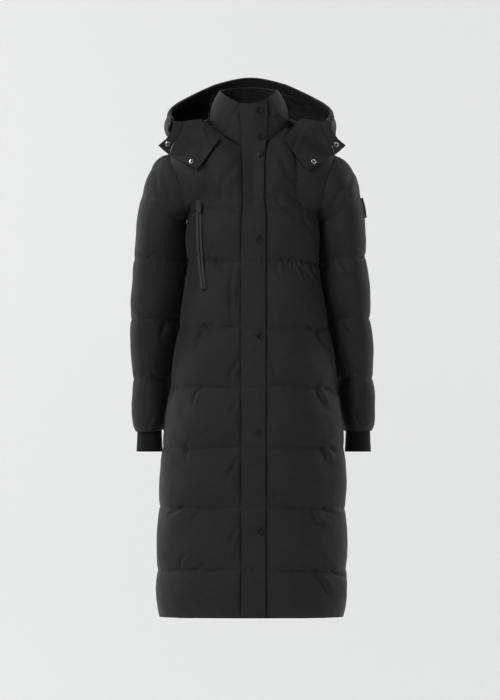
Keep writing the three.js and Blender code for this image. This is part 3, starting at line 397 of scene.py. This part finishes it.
# flat width, length and true area of each front, in metres
FRONT_CUT = {"front_right": (0.32, 1.20, 0.335), "front_left": (0.32, 1.20, 0.33)}
for number, (node, (wide, long, area)) in enumerate(FRONT_CUT.items()):
    piece = form_of(node)
    points, normals = read(piece)
    around = np.degrees(np.arctan2(points[:, 0], -points[:, 1])) * BODY_MM_EACH_DEGREE
    past_placket = (np.abs(points[:, 0] - PLACKET_MIDDLE) - PLACKET_HALF) / PLACKET_FADE
    free = np.clip(past_placket, 0, 1) * freedom(points, ZIP_HELD)
    write(piece, quilt(points, normals, from_axis(points), FRONT_CREASES, FRONT_SEEDS[number], BODY_SEAMS,
                       around, free))
    soft[node] = dress(piece, node, from_axis, shell_cloth, lining_cloth)

# Back panel: one piece of the same quilted cloth from side seam to side seam, with its
# channels level with the fronts'. It is not in the photograph: its creases are like theirs.
# columns: x, height, lean from upright, length, width and depth of the crease, in mm
BACK_CREASES = [
    (-118, 640, 24, 34, 9, 5), (-92, 652, 62, 26, 7, 3), (128, 505, -26, 32, 9, 5),
    (106, 516, -64, 26, 7, 3), (-140, 372, 20, 30, 9, 5), (96, 232, -32, 28, 9, 5),
    (-70, 786, 12, 30, 8, 4), (62, 792, -14, 30, 8, 4), (-104, 800, 24, 26, 6, 4),
    (110, 798, -22, 26, 6, 4), (0, 806, 6, 22, 6, 3), (-34, 798, -10, 24, 6, 3),
    (30, 640, 20, 28, 7, 3), (-50, 508, -24, 28, 7, 3), (40, 366, 30, 26, 7, 3),
    (-20, 236, 18, 26, 7, 3), (-110, 100, 40, 30, 8, 4), (70, 96, -34, 30, 8, 4),
    (150, 380, -60, 28, 7, 3), (-160, 516, 60, 28, 7, 3), (86, 1000, -34, 46, 11, 3),
    (-80, 1010, 30, 46, 11, 3), (0, 930, 74, 50, 10, 2), (120, 900, -40, 34, 8, 3),
]
BACK_SEED = 200
piece = form_of("back")
points, normals = read(piece)
around = np.degrees(np.arctan2(points[:, 0], points[:, 1])) * BODY_MM_EACH_DEGREE
write(piece, quilt(points, normals, from_axis(points), BACK_CREASES, BACK_SEED, BODY_SEAMS, around))
soft["back"] = dress(piece, "back", from_axis, shell_cloth, lining_cloth)

# Sleeves: each one piece of quilted cloth, seamed under the arm and gathered a little at
# each line of stitches. The elbows crease on the inside, where the arms hang.
SLEEVE_SEAMS = [548, 686, 826, 966]
SLEEVE_SEEDS = (300, 340)
SLEEVE_FREE = 0.8
SLEEVE_MM_EACH_DEGREE = 0.9
RING_STEP = 15
RING_HALF = 12
SLEEVE_HEAD = 1000
SLEEVE_HEAD_RISE = 60
SLEEVE_HEAD_LIFT = 40
# columns: x, height, lean from upright, length, width and depth of the crease, in mm
SLEEVE_CREASES = [
    (-208, 664, 20, 22, 7, 7), (-196, 985, -22, 42, 9, 5), (-222, 1002, -8, 30, 8, 3),
    (-250, 700, -60, 26, 8, 3), (-228, 836, 70, 22, 6, 4), (-244, 562, 60, 22, 6, 3),
    (-226, 556, -40, 22, 6, 4), (-240, 690, 80, 24, 6, 3), (-252, 836, -60, 22, 6, 3),
    (-236, 450, 24, 22, 6, 3), (206, 800, -24, 30, 8, 6), (196, 965, 24, 48, 9, 4),
    (224, 1000, 10, 34, 8, 3), (214, 664, -20, 22, 7, 6), (240, 704, 60, 26, 8, 3),
    (232, 836, -70, 22, 6, 4), (246, 560, -60, 22, 6, 3), (228, 556, 40, 22, 6, 4),
    (256, 830, 60, 22, 6, 3), (244, 450, -24, 22, 6, 3),
]


def around_own_axis(points):
    """A function giving the way out from the middle line of a tube that runs up and down."""
    levels = np.arange(points[:, 2].min(), points[:, 2].max(), RING_STEP)
    middles = []
    for level in levels:
        ring = points[np.abs(points[:, 2] - level) < RING_HALF]
        middles.append((ring[:, :2].min(0) + ring[:, :2].max(0)) / 2)
    middles = np.array(middles)

    def away(places):
        way = np.zeros_like(places)
        for axis in (0, 1):
            way[:, axis] = places[:, axis] - np.interp(places[:, 2], levels, middles[:, axis])
        way[:, 2] = np.clip((places[:, 2] - SLEEVE_HEAD) / SLEEVE_HEAD_RISE, 0, 1) * SLEEVE_HEAD_LIFT
        return unit(way)

    return away


# how far the padded inner side is pressed toward the body at each height, and its share going back
PRESS_HEIGHTS = (465, 500, 550, 600, 640, 920, 945)
SLEEVE_PRESS = (0, 9, 17, 15, 11, 11, 0)
PRESS_BACK = 0.8
REST_GAP = 0.6  # the gap left between the sleeve and the body where they lie together
REST_TOP = 910  # above this the sleeve is sewn to the body, and its cloth isn't moved off it
REST_FADE = 50
REST_REACH = 11  # how far round a moved point the cloth gives with it
REST_MOST = 25


def rest_against(points, normals, cloths):
    """Points of a wall moved, both faces alike, until its outer face rests on the cloths."""
    corners, faces = [], []
    for cloth in cloths:
        first = len(corners)
        corners += [tuple(corner) for corner in read(cloth)[0]]
        faces += [[first + corner for corner in face.vertices] for face in cloth.data.polygons
                  if face.material_index == 0]
    body = BVHTree.FromPolygons(corners, faces)
    tree = KDTree(len(points))
    for number, point in enumerate(points):
        tree.insert(point, number)
    tree.balance()
    moves, sizes = np.zeros_like(points), np.zeros(len(points))
    for number, point in enumerate(points):
        near, normal, _, _ = body.find_nearest(Vector(point), REST_MOST)
        if near is None or point[2] > REST_TOP or normal.dot(Vector(normals[number])) > 0:
            continue
        lack = REST_GAP - (Vector(point) - near).dot(normal)
        lack *= min(1, (REST_TOP - point[2]) / REST_FADE)
        if lack <= 0:
            continue
        for _, other, gap in tree.find_range(point, REST_REACH):
            share = lack * (1 - (gap / REST_REACH) ** 2) ** 2
            if share > sizes[other]:
                sizes[other] = share
                moves[other] = np.array(normal) * share
    return points + moves


for number, node in enumerate(("sleeve_right", "sleeve_left")):
    piece = form_of(node)
    points, normals = read(piece)
    away = around_own_axis(points)
    way = away(points)
    around = np.degrees(np.arctan2(way[:, 0], -way[:, 1])) * SLEEVE_MM_EACH_DEGREE
    shaped = quilt(points, normals, way, SLEEVE_CREASES, SLEEVE_SEEDS[number], SLEEVE_SEAMS, around,
                   SLEEVE_FREE)
    # the inner side lies against the body, a little behind the side seam
    inward = 1 if number == 0 else -1
    inner = np.clip(way[:, 0] * inward, 0, 1) ** 2
    press = inner * np.interp(points[:, 2], PRESS_HEIGHTS, SLEEVE_PRESS)
    shaped[:, 0] += press * inward
    shaped[:, 1] += press * PRESS_BACK
    write(piece, shaped)
    beside = (soft["front_right" if number == 0 else "front_left"], soft["back"])
    for _ in range(2):
        shaped, normals = read(piece)
        write(piece, rest_against(shaped, normals, beside))
    soft[node] = dress(piece, node, away, shell_cloth, lining_cloth)

# Cuffs: tubes of black rib knit, each sewn into the sleeve's end and pulling it in. The ribs
# run down the tube, and the knit is duller than the shell.
RIB_DARK = (0.0030, 0.0029, 0.0030, 1)
RIB_LIGHT = (0.0060, 0.0058, 0.0060, 1)
RIB_EDGE = 75
rib_knit = woven("rib_knit", RIB_DARK, RIB_LIGHT, 0.86, 1.6, 0.5, 0.05)
for node in ("cuff_right", "cuff_left"):
    piece = form_of(node, SMALL_ROUNDING, RIB_EDGE)
    points, normals = read(piece)
    away = around_own_axis(points)
    soft[node] = dress(piece, node, away, rib_knit, rib_knit)

# Stand collar: two layers of shell cloth with light padding, sewn to the neck edge. Its top
# is folded over, and its front dips to the zip's top.
# columns: x, height, lean from upright, length, width and depth of the crease, in mm
COLLAR_CREASES = [
    (-40, 1165, 26, 34, 6, 5), (-28, 1150, -10, 26, 5, 3), (46, 1160, -30, 40, 7, 6),
    (64, 1150, -44, 26, 6, 3), (-70, 1150, 24, 30, 7, 3), (78, 1164, -24, 26, 7, 3),
    (-58, 1120, 60, 26, 6, 2), (58, 1112, -60, 26, 6, 2),
]
NECK_X = -7
NECK_SEAM = 1090
COLLAR_SEED = 400
COLLAR_FREE = 0.7
COLLAR_MM_EACH_DEGREE = 1.4


def from_neck(points):
    """Level direction out from the middle of the neck."""
    return unit((points - [NECK_X, 0, 0]) * [1, 1, 0])


piece = form_of("collar")
points, normals = read(piece)
around = np.degrees(np.arctan2(points[:, 0] - NECK_X, -points[:, 1])) * COLLAR_MM_EACH_DEGREE
write(piece, quilt(points, normals, from_neck(points), COLLAR_CREASES, COLLAR_SEED, [NECK_SEAM], around,
                   COLLAR_FREE))
soft["collar"] = dress(piece, "collar", from_neck, shell_cloth, lining_cloth)

# Zip placket: a doubled, lightly padded flap of shell cloth that covers the front zip from
# collar to hem. It is stitched down on the wearer's right and snaps over on the left.
# columns: x, height, lean from upright, length, width and depth of the crease, in mm
PLACKET_CREASES = [
    (4, 1096, 84, 22, 4, 2), (8, 1078, 80, 24, 4, 3), (10, 1030, -82, 20, 4, 1.5),
    (0, 778, 86, 26, 5, 3), (8, 718, 58, 18, 5, 2.5), (6, 606, 52, 24, 5, 3),
    (-6, 426, 82, 18, 5, 2.5), (4, 348, 66, 26, 5, 3), (8, 194, 84, 18, 5, 2),
    (8, 112, 60, 20, 5, 3), (14, 79, 82, 24, 5, 3), (-8, 250, 70, 20, 6, 2),
    (6, 530, 80, 24, 5, 2), (2, 660, 78, 24, 5, 2), (4, 880, 84, 20, 5, 1.5),
    (8, 960, -78, 20, 5, 1.5),
]
PLACKET_SEED = 450
PLACKET_FREE = 0.8


def to_front(points):
    """Straight out to the front, for every point."""
    return np.tile([0.0, -1.0, 0.0], (len(points), 1))


piece = form_of("placket")
points, normals = read(piece)
write(piece, quilt(points, normals, to_front(points), PLACKET_CREASES, PLACKET_SEED, BODY_SEAMS,
                   points[:, 0], PLACKET_FREE * freedom(points, CAPS_HELD)))
soft["placket"] = dress(piece, "placket", to_front, shell_cloth, lining_cloth)

# Hood: a centre strip and two sides of shell cloth, lined, lying open behind the neck.
# The lining shows between the rim and the collar, and folds softly where the bag sinks.
HOOD_MIDDLE_X = -5
HOOD_SEAM_TURN = 28
HOOD_SEAM_WIDE = 5
HOOD_SEAM_CLOSE = 0.8
HOOD_SLACK = 2.8
HOOD_LUMP_WIDE = 34
HOOD_LUMP_TALL = 26
HOOD_MM_EACH_DEGREE = 2.5
HOOD_FREE = 0.6
HOOD_SEED = 500
HOOD_BAG_OUT = 172
HOOD_BAG_UP = 1125
# columns: x, height, lean from upright, length, width and depth of the crease, in mm
HOOD_CREASES = [
    (-128, 1180, 34, 30, 9, 5), (-92, 1190, 60, 34, 9, 5), (-40, 1196, 80, 34, 9, 4),
    (40, 1194, -78, 34, 9, 4), (96, 1190, -58, 34, 9, 5), (132, 1180, -36, 30, 9, 5),
    (0, 1100, 4, 40, 10, 5), (-80, 1090, 30, 40, 10, 5), (84, 1092, -30, 40, 10, 5),
    (-150, 1130, 20, 26, 8, 4), (152, 1128, -20, 26, 8, 4),
]


def from_bag(points):
    """The way out from the hollow of the hood, which bends round the neck like a horseshoe."""
    level = (points - [HOOD_MIDDLE_X, 0, 0]) * [1, 1, 0]
    reach = np.linalg.norm(level, axis=1, keepdims=True)
    middle = level / np.maximum(reach, 1) * HOOD_BAG_OUT + [HOOD_MIDDLE_X, 0, HOOD_BAG_UP]
    return unit(points - middle)


HOOD_CUT = {"hood_side_right": (0.30, 0.26, 0.047), "hood_centre": (0.24, 0.36, 0.058),
            "hood_side_left": (0.30, 0.26, 0.047)}
for node, (wide, long, area) in HOOD_CUT.items():
    piece = form_of(node)
    points, normals = read(piece)
    turn = np.arctan2(points[:, 0] - HOOD_MIDDLE_X, points[:, 1])
    around = np.degrees(turn) * HOOD_MM_EACH_DEGREE
    slack = HOOD_SLACK * uneven(around / HOOD_LUMP_WIDE, points[:, 2] / HOOD_LUMP_TALL, HOOD_SEED)
    depth = pinches(points, HOOD_CREASES)
    flat_on = np.abs((normals * from_bag(points)).sum(1))
    shaped = points + normals * ((slack - depth) * flat_on * HOOD_FREE)[:, None]
    # each panel reaches a little farther round, so that the seams close
    near_seam = np.exp(-((np.abs(np.degrees(turn)) - HOOD_SEAM_TURN) / HOOD_SEAM_WIDE) ** 2)
    side = np.sign(turn) * (1 if node == "hood_centre" else -1)
    shaped[:, 0] += side * near_seam * HOOD_SEAM_CLOSE * np.cos(turn)
    shaped[:, 1] -= side * near_seam * HOOD_SEAM_CLOSE * np.sin(turn)
    write(piece, shaped)
    soft[node] = dress(piece, node, from_bag, shell_cloth, lining_cloth)

# Hood face band, its two ends and its two neck flaps: folded strips of shell cloth round
# the hood's opening. The flaps fold out over the collar's ends and snap down there.
TRIM_CUT = {
    "hood_band": (0.70, 0.026, None, "gathered"),
    "hood_band_end_right": (0.10, 0.04, 0.0019, "folded"),
    "hood_band_end_left": (0.10, 0.04, 0.0019, "folded"),
    "hood_flap_right": (0.16, 0.14, 0.0113, "folded"),
    "hood_flap_left": (0.16, 0.14, 0.0113, "folded"),
}
TRIM_SEED = 520
FLAP_SLACK = 0.7
FLAP_LUMP = 22
RING_REACH = 13
RING_PLACES = [(-139, 1048.5), (141, 1048), (-194, 1089.5), (194, 1088)]
RINGS_HELD = [(x, height, RING_REACH) for x, height in RING_PLACES]
# columns: x, height, lean from upright, length, width and depth of the crease, in mm
FLAP_CREASES = [
    (-94, 1092, -34, 28, 6, 3), (-104, 1118, -24, 20, 6, 2), (-150, 1100, 40, 20, 7, 2),
    (100, 1092, 34, 28, 6, 3), (110, 1118, 24, 20, 6, 2), (152, 1098, -40, 20, 7, 2),
    (-128, 1062, -60, 18, 6, 2), (132, 1060, 60, 18, 6, 2),
]
for number, (node, (wide, long, area, held)) in enumerate(TRIM_CUT.items()):
    piece = form_of(node)
    if "flap" in node:
        points, normals = read(piece)
        slack = FLAP_SLACK * uneven(points[:, 0] / FLAP_LUMP, points[:, 2] / FLAP_LUMP, TRIM_SEED + number)
        front = np.clip(-normals[:, 1] * 2, 0, 1) * freedom(points, RINGS_HELD)
        write(piece, points + normals * ((slack - pinches(points, FLAP_CREASES)) * front)[:, None])
    soft[node] = dress(piece, node, from_bag, shell_cloth, shell_cloth)

# Blank patch on the wearer's left sleeve: a small rectangle of plain cloth, folded under at
# its edges and sewn on flat below the shoulder.
piece = form_of("sleeve_patch", SMALL_ROUNDING)
patch_cloth = woven("patch_cloth", RIB_DARK, SHELL_DARK, 0.6, 0.5, 0.3, 0.1)
soft["sleeve_patch"] = dress(piece, "sleeve_patch", to_front, patch_cloth, patch_cloth)

# Chest pocket zip, on the wearer's right: two piped edges of cloth over a nylon coil. The
# coil's teeth are bent from one thread; the slider and its pull are plated metal.
EDGE_DARK = (0.026, 0.026, 0.027, 1)
EDGE_LIGHT = (0.038, 0.038, 0.040, 1)
welt_cloth = woven("welt_cloth", EDGE_DARK, EDGE_LIGHT, 0.55, 0.6, 0.4, 0.2)
coil_thread = woven("coil_thread", RIB_DARK, SHELL_LIGHT, 0.45, 1.2, 0.2, 0.0)
nodes["pocket_welt_outer"].material_slots[0].material = welt_cloth
nodes["pocket_welt_inner"].material_slots[0].material = welt_cloth
nodes["pocket_zip_coil"].material_slots[0].material = coil_thread
METAL_GRAINS = 900  # to the metre
METAL_SHINE_RANGE = 0.08


def plated(name, colour, metallic, roughness, wear):
    """Painted or plated metal with a fine grain and a little rubbing."""
    material = bpy.data.materials.new(name)
    material.use_nodes = True
    tree = material.node_tree
    shader = tree.nodes["Principled BSDF"]
    shader.inputs["Metallic"].default_value = metallic
    place = tree.nodes.new("ShaderNodeTexCoord")
    grain = tree.nodes.new("ShaderNodeTexNoise")
    grain.inputs["Scale"].default_value = METAL_GRAINS
    grain.inputs["Detail"].default_value = 4
    tree.links.new(place.outputs["Object"], grain.inputs["Vector"])
    tint = tree.nodes.new("ShaderNodeMix")
    tint.data_type = "RGBA"
    tint.inputs["A"].default_value = colour
    tint.inputs["B"].default_value = tuple(min(1, part * wear) for part in colour[:3]) + (1,)
    tree.links.new(grain.outputs["Fac"], tint.inputs["Factor"])
    tree.links.new(tint.outputs["Result"], shader.inputs["Base Color"])
    polish = tree.nodes.new("ShaderNodeMapRange")
    polish.inputs["To Min"].default_value = roughness - METAL_SHINE_RANGE
    polish.inputs["To Max"].default_value = roughness + METAL_SHINE_RANGE
    tree.links.new(grain.outputs["Fac"], polish.inputs["Value"])
    tree.links.new(polish.outputs["Result"], shader.inputs["Roughness"])
    return material


zip_metal = plated("zip_metal", (0.10, 0.10, 0.105, 1), 1.0, 0.34, 1.8)
nodes["zip_slider"].material_slots[0].material = zip_metal
nodes["zip_pull"].material_slots[0].material = zip_metal

# Rings and eyelet: pressed rings of bright plated brass. Four take the snaps on the hood's
# flaps and band ends, and a small one is set into the cloth at the waist.
bright_metal = plated("bright_metal", (0.42, 0.42, 0.44, 1), 1.0, 0.28, 1.4)
for node in ("waist_eyelet", "hood_snap_flap_right", "hood_snap_flap_left",
             "hood_snap_tip_right", "hood_snap_tip_left"):
    nodes[node].material_slots[0].material = bright_metal

# Snap caps: seven pressed metal caps down the placket, painted black and nearly matt. Each
# is riveted through the placket to the snap behind it.
cap_metal = plated("cap_metal", (0.006, 0.006, 0.007, 1), 0.6, 0.42, 2.2)
for number in range(1, len(CAP_PLACES) + 1):
    nodes[f"snap_cap_{number}"].material_slots[0].material = cap_metal

# Stitches: black polyester thread along the quilting, both edges of the placket and round
# the collar, in lockstitches of about 3 mm that sink a little into the cloth.
STITCH = 3.0
STITCH_GAP = 0.9
THREAD = 0.36
THREAD_RISE = 0.18
THREAD_SINK = 0.25
LONGEST_LOOK = 0.6  # metres
LOOK_FROM = 330  # how far off the lines start that look for the cloth, in mm
FRONT_LOOK_FROM = 300
thread = woven("thread", SHELL_DARK, SHELL_LIGHT, 0.5, 0.3, 0.2, 0.1)


def hits(target, origins, way):
    """Where lines from the origins along way meet a cloth piece, in mm above the hem."""
    tree = BVHTree.FromObject(target, bpy.context.evaluated_depsgraph_get())
    found = []
    for origin, direction in zip(origins, way):
        start = Vector((origin[0], origin[1], origin[2] + HEM * 1000)) / 1000
        place, normal, _, _ = tree.ray_cast(start, Vector(direction).normalized(), LONGEST_LOOK)
        if place is None:
            found.append(None)
            continue
        found.append((np.array(place) * 1000 - [0, 0, HEM * 1000], np.array(normal)))
    return found


def sewn(lines, name):
    """One piece of thread made of separate stitches along lines of surface places."""
    corners, faces = [], []
    for line in lines:
        start = None
        for here, there in zip(line[:-1], line[1:]):
            if here is None or there is None:
                start = None
                continue
            if start is None:
                start = here
            travelled = np.linalg.norm(there[0] - start[0])
            if travelled < STITCH + STITCH_GAP:
                continue
            along = (there[0] - start[0]) / travelled
            out = start[1]
            side = np.cross(along, out)
            first = len(corners)
            corners.append(start[0] - out * THREAD_SINK)
            for part in (0.25, 0.75):
                middle = start[0] + along * STITCH * part + out * THREAD_RISE
                for turn in range(4):
                    angle = math.pi / 2 * turn
                    corners.append(middle + (side * math.cos(angle) + out * math.sin(angle)) * THREAD)
            corners.append(start[0] + along * STITCH - out * THREAD_SINK)
            for turn in range(4):
                after = (turn + 1) % 4
                faces.append((first, first + 1 + turn, first + 1 + after))
                faces.append((first + 1 + turn, first + 5 + turn, first + 5 + after, first + 1 + after))
                faces.append((first + 5 + turn, first + 9, first + 5 + after))
            start = there
    mesh = bpy.data.meshes.new(name)
    mesh.from_pydata([(x / 1000, y / 1000, z / 1000 + HEM) for x, y, z in corners], [], faces)
    mesh.polygons.foreach_set("use_smooth", [True] * len(mesh.polygons))
    mesh.materials.append(thread)
    piece = bpy.data.objects.new(name, mesh)
    bpy.context.scene.collection.objects.link(piece)
    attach(piece, "coat")
    return piece


def level_line(target, height, first, last, step, middle=(0, 0), look_from=LOOK_FROM):
    """Places round a piece at one height, from the first bearing to the last, in degrees."""
    origins, ways = [], []
    for bearing in np.arange(first, last, step):
        way = np.array([math.sin(math.radians(bearing)), -math.cos(math.radians(bearing)), 0])
        origins.append(np.array([middle[0], middle[1], height]) + way * look_from)
        ways.append(-way)
    return hits(target, origins, ways)


def upright_line(target, x, low, high, step=1.0):
    """Places on the front of a piece at one x, from low to high."""
    heights = np.arange(low, high, step)
    return hits(target, [(x, -FRONT_LOOK_FROM, height) for height in heights], [(0, 1, 0)] * len(heights))


BODY_STEP = 0.3  # degrees between the places of a line, like the next two
COLLAR_STEP = 0.8
SLEEVE_STEP = 1.4
SLEEVE_LOOK_FROM = 100
COLLAR_LINE = 1112
# columns: panel, and the bearings between which its seams run, from straight in front
FRONT_BEARINGS = (("front_right", -88, -10), ("front_left", 10, 88))
BACK_BEARINGS = (92, 268)
COLLAR_BEARINGS = (-170, 170)
RING_NEAR = 5
PLACKET_LINES = (-19.5, 26.5)
PLACKET_FOOT = 8
PLACKET_TOP = 1085
front_lines = []
for seam in BODY_SEAMS:
    for node, first, last in FRONT_BEARINGS:
        front_lines.append(level_line(soft[node], seam, first, last, BODY_STEP))
sewn(front_lines, "front_stitches")
sewn([level_line(soft["back"], seam, *BACK_BEARINGS, BODY_STEP) for seam in BODY_SEAMS], "back_stitches")
placket_lines = [upright_line(soft["placket"], x, PLACKET_FOOT, PLACKET_TOP) for x in PLACKET_LINES]
sewn(placket_lines, "placket_stitches")
sleeve_lines = []
for node in ("sleeve_right", "sleeve_left"):
    points, _ = read(soft[node])
    for seam in SLEEVE_SEAMS[:3]:
        ring = points[np.abs(points[:, 2] - seam) < RING_NEAR]
        middle = (ring[:, :2].min(0) + ring[:, :2].max(0)) / 2
        sleeve_lines.append(level_line(soft[node], seam, 0, 360, SLEEVE_STEP, middle, SLEEVE_LOOK_FROM))
sewn(sleeve_lines, "sleeve_stitches")
collar_line = level_line(soft["collar"], COLLAR_LINE, *COLLAR_BEARINGS, COLLAR_STEP, (NECK_X, 0))
sewn([collar_line], "collar_stitches")

# Studio: a pale seamless sweep that curves up behind the coat and is clear from behind. A
# broad soft light stands at the front left, a weaker one at the right and two behind.
SWEEP_DROP = 0.42
SWEEP_FRONT = -9.0
SWEEP_MIDDLE = -2.0
SWEEP_BACK = 2.4
SWEEP_BEND = 1.2
SWEEP_TALL = 6.0
SWEEP_HALF = 7
BEND_PARTS = 12
SWEEP_PALE = (0.82, 0.82, 0.82, 1)
SWEEP_ROUGHNESS = 0.95
SWEEP_GLOW = 0.17
bend_start = SWEEP_BACK - SWEEP_BEND
profile = [(SWEEP_FRONT, 0.0), (SWEEP_MIDDLE, 0.0), (bend_start, 0.0)]
for turn in range(1, BEND_PARTS + 1):
    angle = math.pi / 2 * turn / BEND_PARTS
    profile.append((bend_start + SWEEP_BEND * math.sin(angle), SWEEP_BEND * (1 - math.cos(angle))))
profile.append((SWEEP_BACK, SWEEP_TALL))
floor_height = HEM - SWEEP_DROP
corners = [(x, y, floor_height + z) for y, z in profile for x in (-SWEEP_HALF, SWEEP_HALF)]
faces = [(2 * i, 2 * i + 1, 2 * i + 3, 2 * i + 2) for i in range(len(profile) - 1)]
mesh = bpy.data.meshes.new("sweep")
mesh.from_pydata(corners, [], faces)
mesh.polygons.foreach_set("use_smooth", [True] * len(faces))
sweep = bpy.data.objects.new("sweep", mesh)
bpy.context.scene.collection.objects.link(sweep)
paper = bpy.data.materials.new("sweep_paper")
paper.use_nodes = True
shader = paper.node_tree.nodes["Principled BSDF"]
shader.inputs["Base Color"].default_value = SWEEP_PALE
shader.inputs["Roughness"].default_value = SWEEP_ROUGHNESS
shader.inputs["Emission Color"].default_value = (1, 1, 1, 1)
shader.inputs["Emission Strength"].default_value = SWEEP_GLOW
paper_tree = paper.node_tree
side_seen = paper_tree.nodes.new("ShaderNodeNewGeometry")
clear = paper_tree.nodes.new("ShaderNodeBsdfTransparent")
one_way = paper_tree.nodes.new("ShaderNodeMixShader")
paper_tree.links.new(side_seen.outputs["Backfacing"], one_way.inputs["Fac"])
paper_tree.links.new(shader.outputs["BSDF"], one_way.inputs[1])
paper_tree.links.new(clear.outputs["BSDF"], one_way.inputs[2])
paper_tree.links.new(one_way.outputs["Shader"], paper_tree.nodes["Material Output"].inputs["Surface"])
mesh.materials.append(paper)
COAT_MIDDLE = (0, 0, -0.5)


def lamp(name, place, size, power):
    """A broad soft light turned toward the middle of the coat."""
    light = bpy.data.lights.new(name, "AREA")
    light.shape = "RECTANGLE"
    light.size, light.size_y = size
    light.energy = power
    holder = bpy.data.objects.new(name, light)
    holder.location = place
    holder.rotation_euler = (Vector(COAT_MIDDLE) - Vector(place)).to_track_quat("-Z", "Y").to_euler()
    bpy.context.scene.collection.objects.link(holder)


# columns: name, place and size in metres, and power in watts
LAMPS = [
    ("key_light", (-2.2, -2.6, 2.2), (1.4, 1.6), 112),
    ("fill_light", (3.0, -2.6, 0.6), (1.2, 2.0), 20),
    ("rim_light_left", (-2.4, 1.4, 0.6), (0.6, 2.2), 20),
    ("rim_light_right", (2.4, 1.4, 0.6), (0.6, 2.2), 18),
]
for name, place, size, power in LAMPS:
    lamp(name, place, size, power)
SURROUND = (0.92, 0.95, 1.0, 1)
SURROUND_STRENGTH = 0.14
world = bpy.data.worlds.new("studio")
bpy.context.scene.world = world
world.use_nodes = True
world.node_tree.nodes["Background"].inputs["Color"].default_value = SURROUND
world.node_tree.nodes["Background"].inputs["Strength"].default_value = SURROUND_STRENGTH
bpy.context.scene.view_settings.view_transform = "Standard"
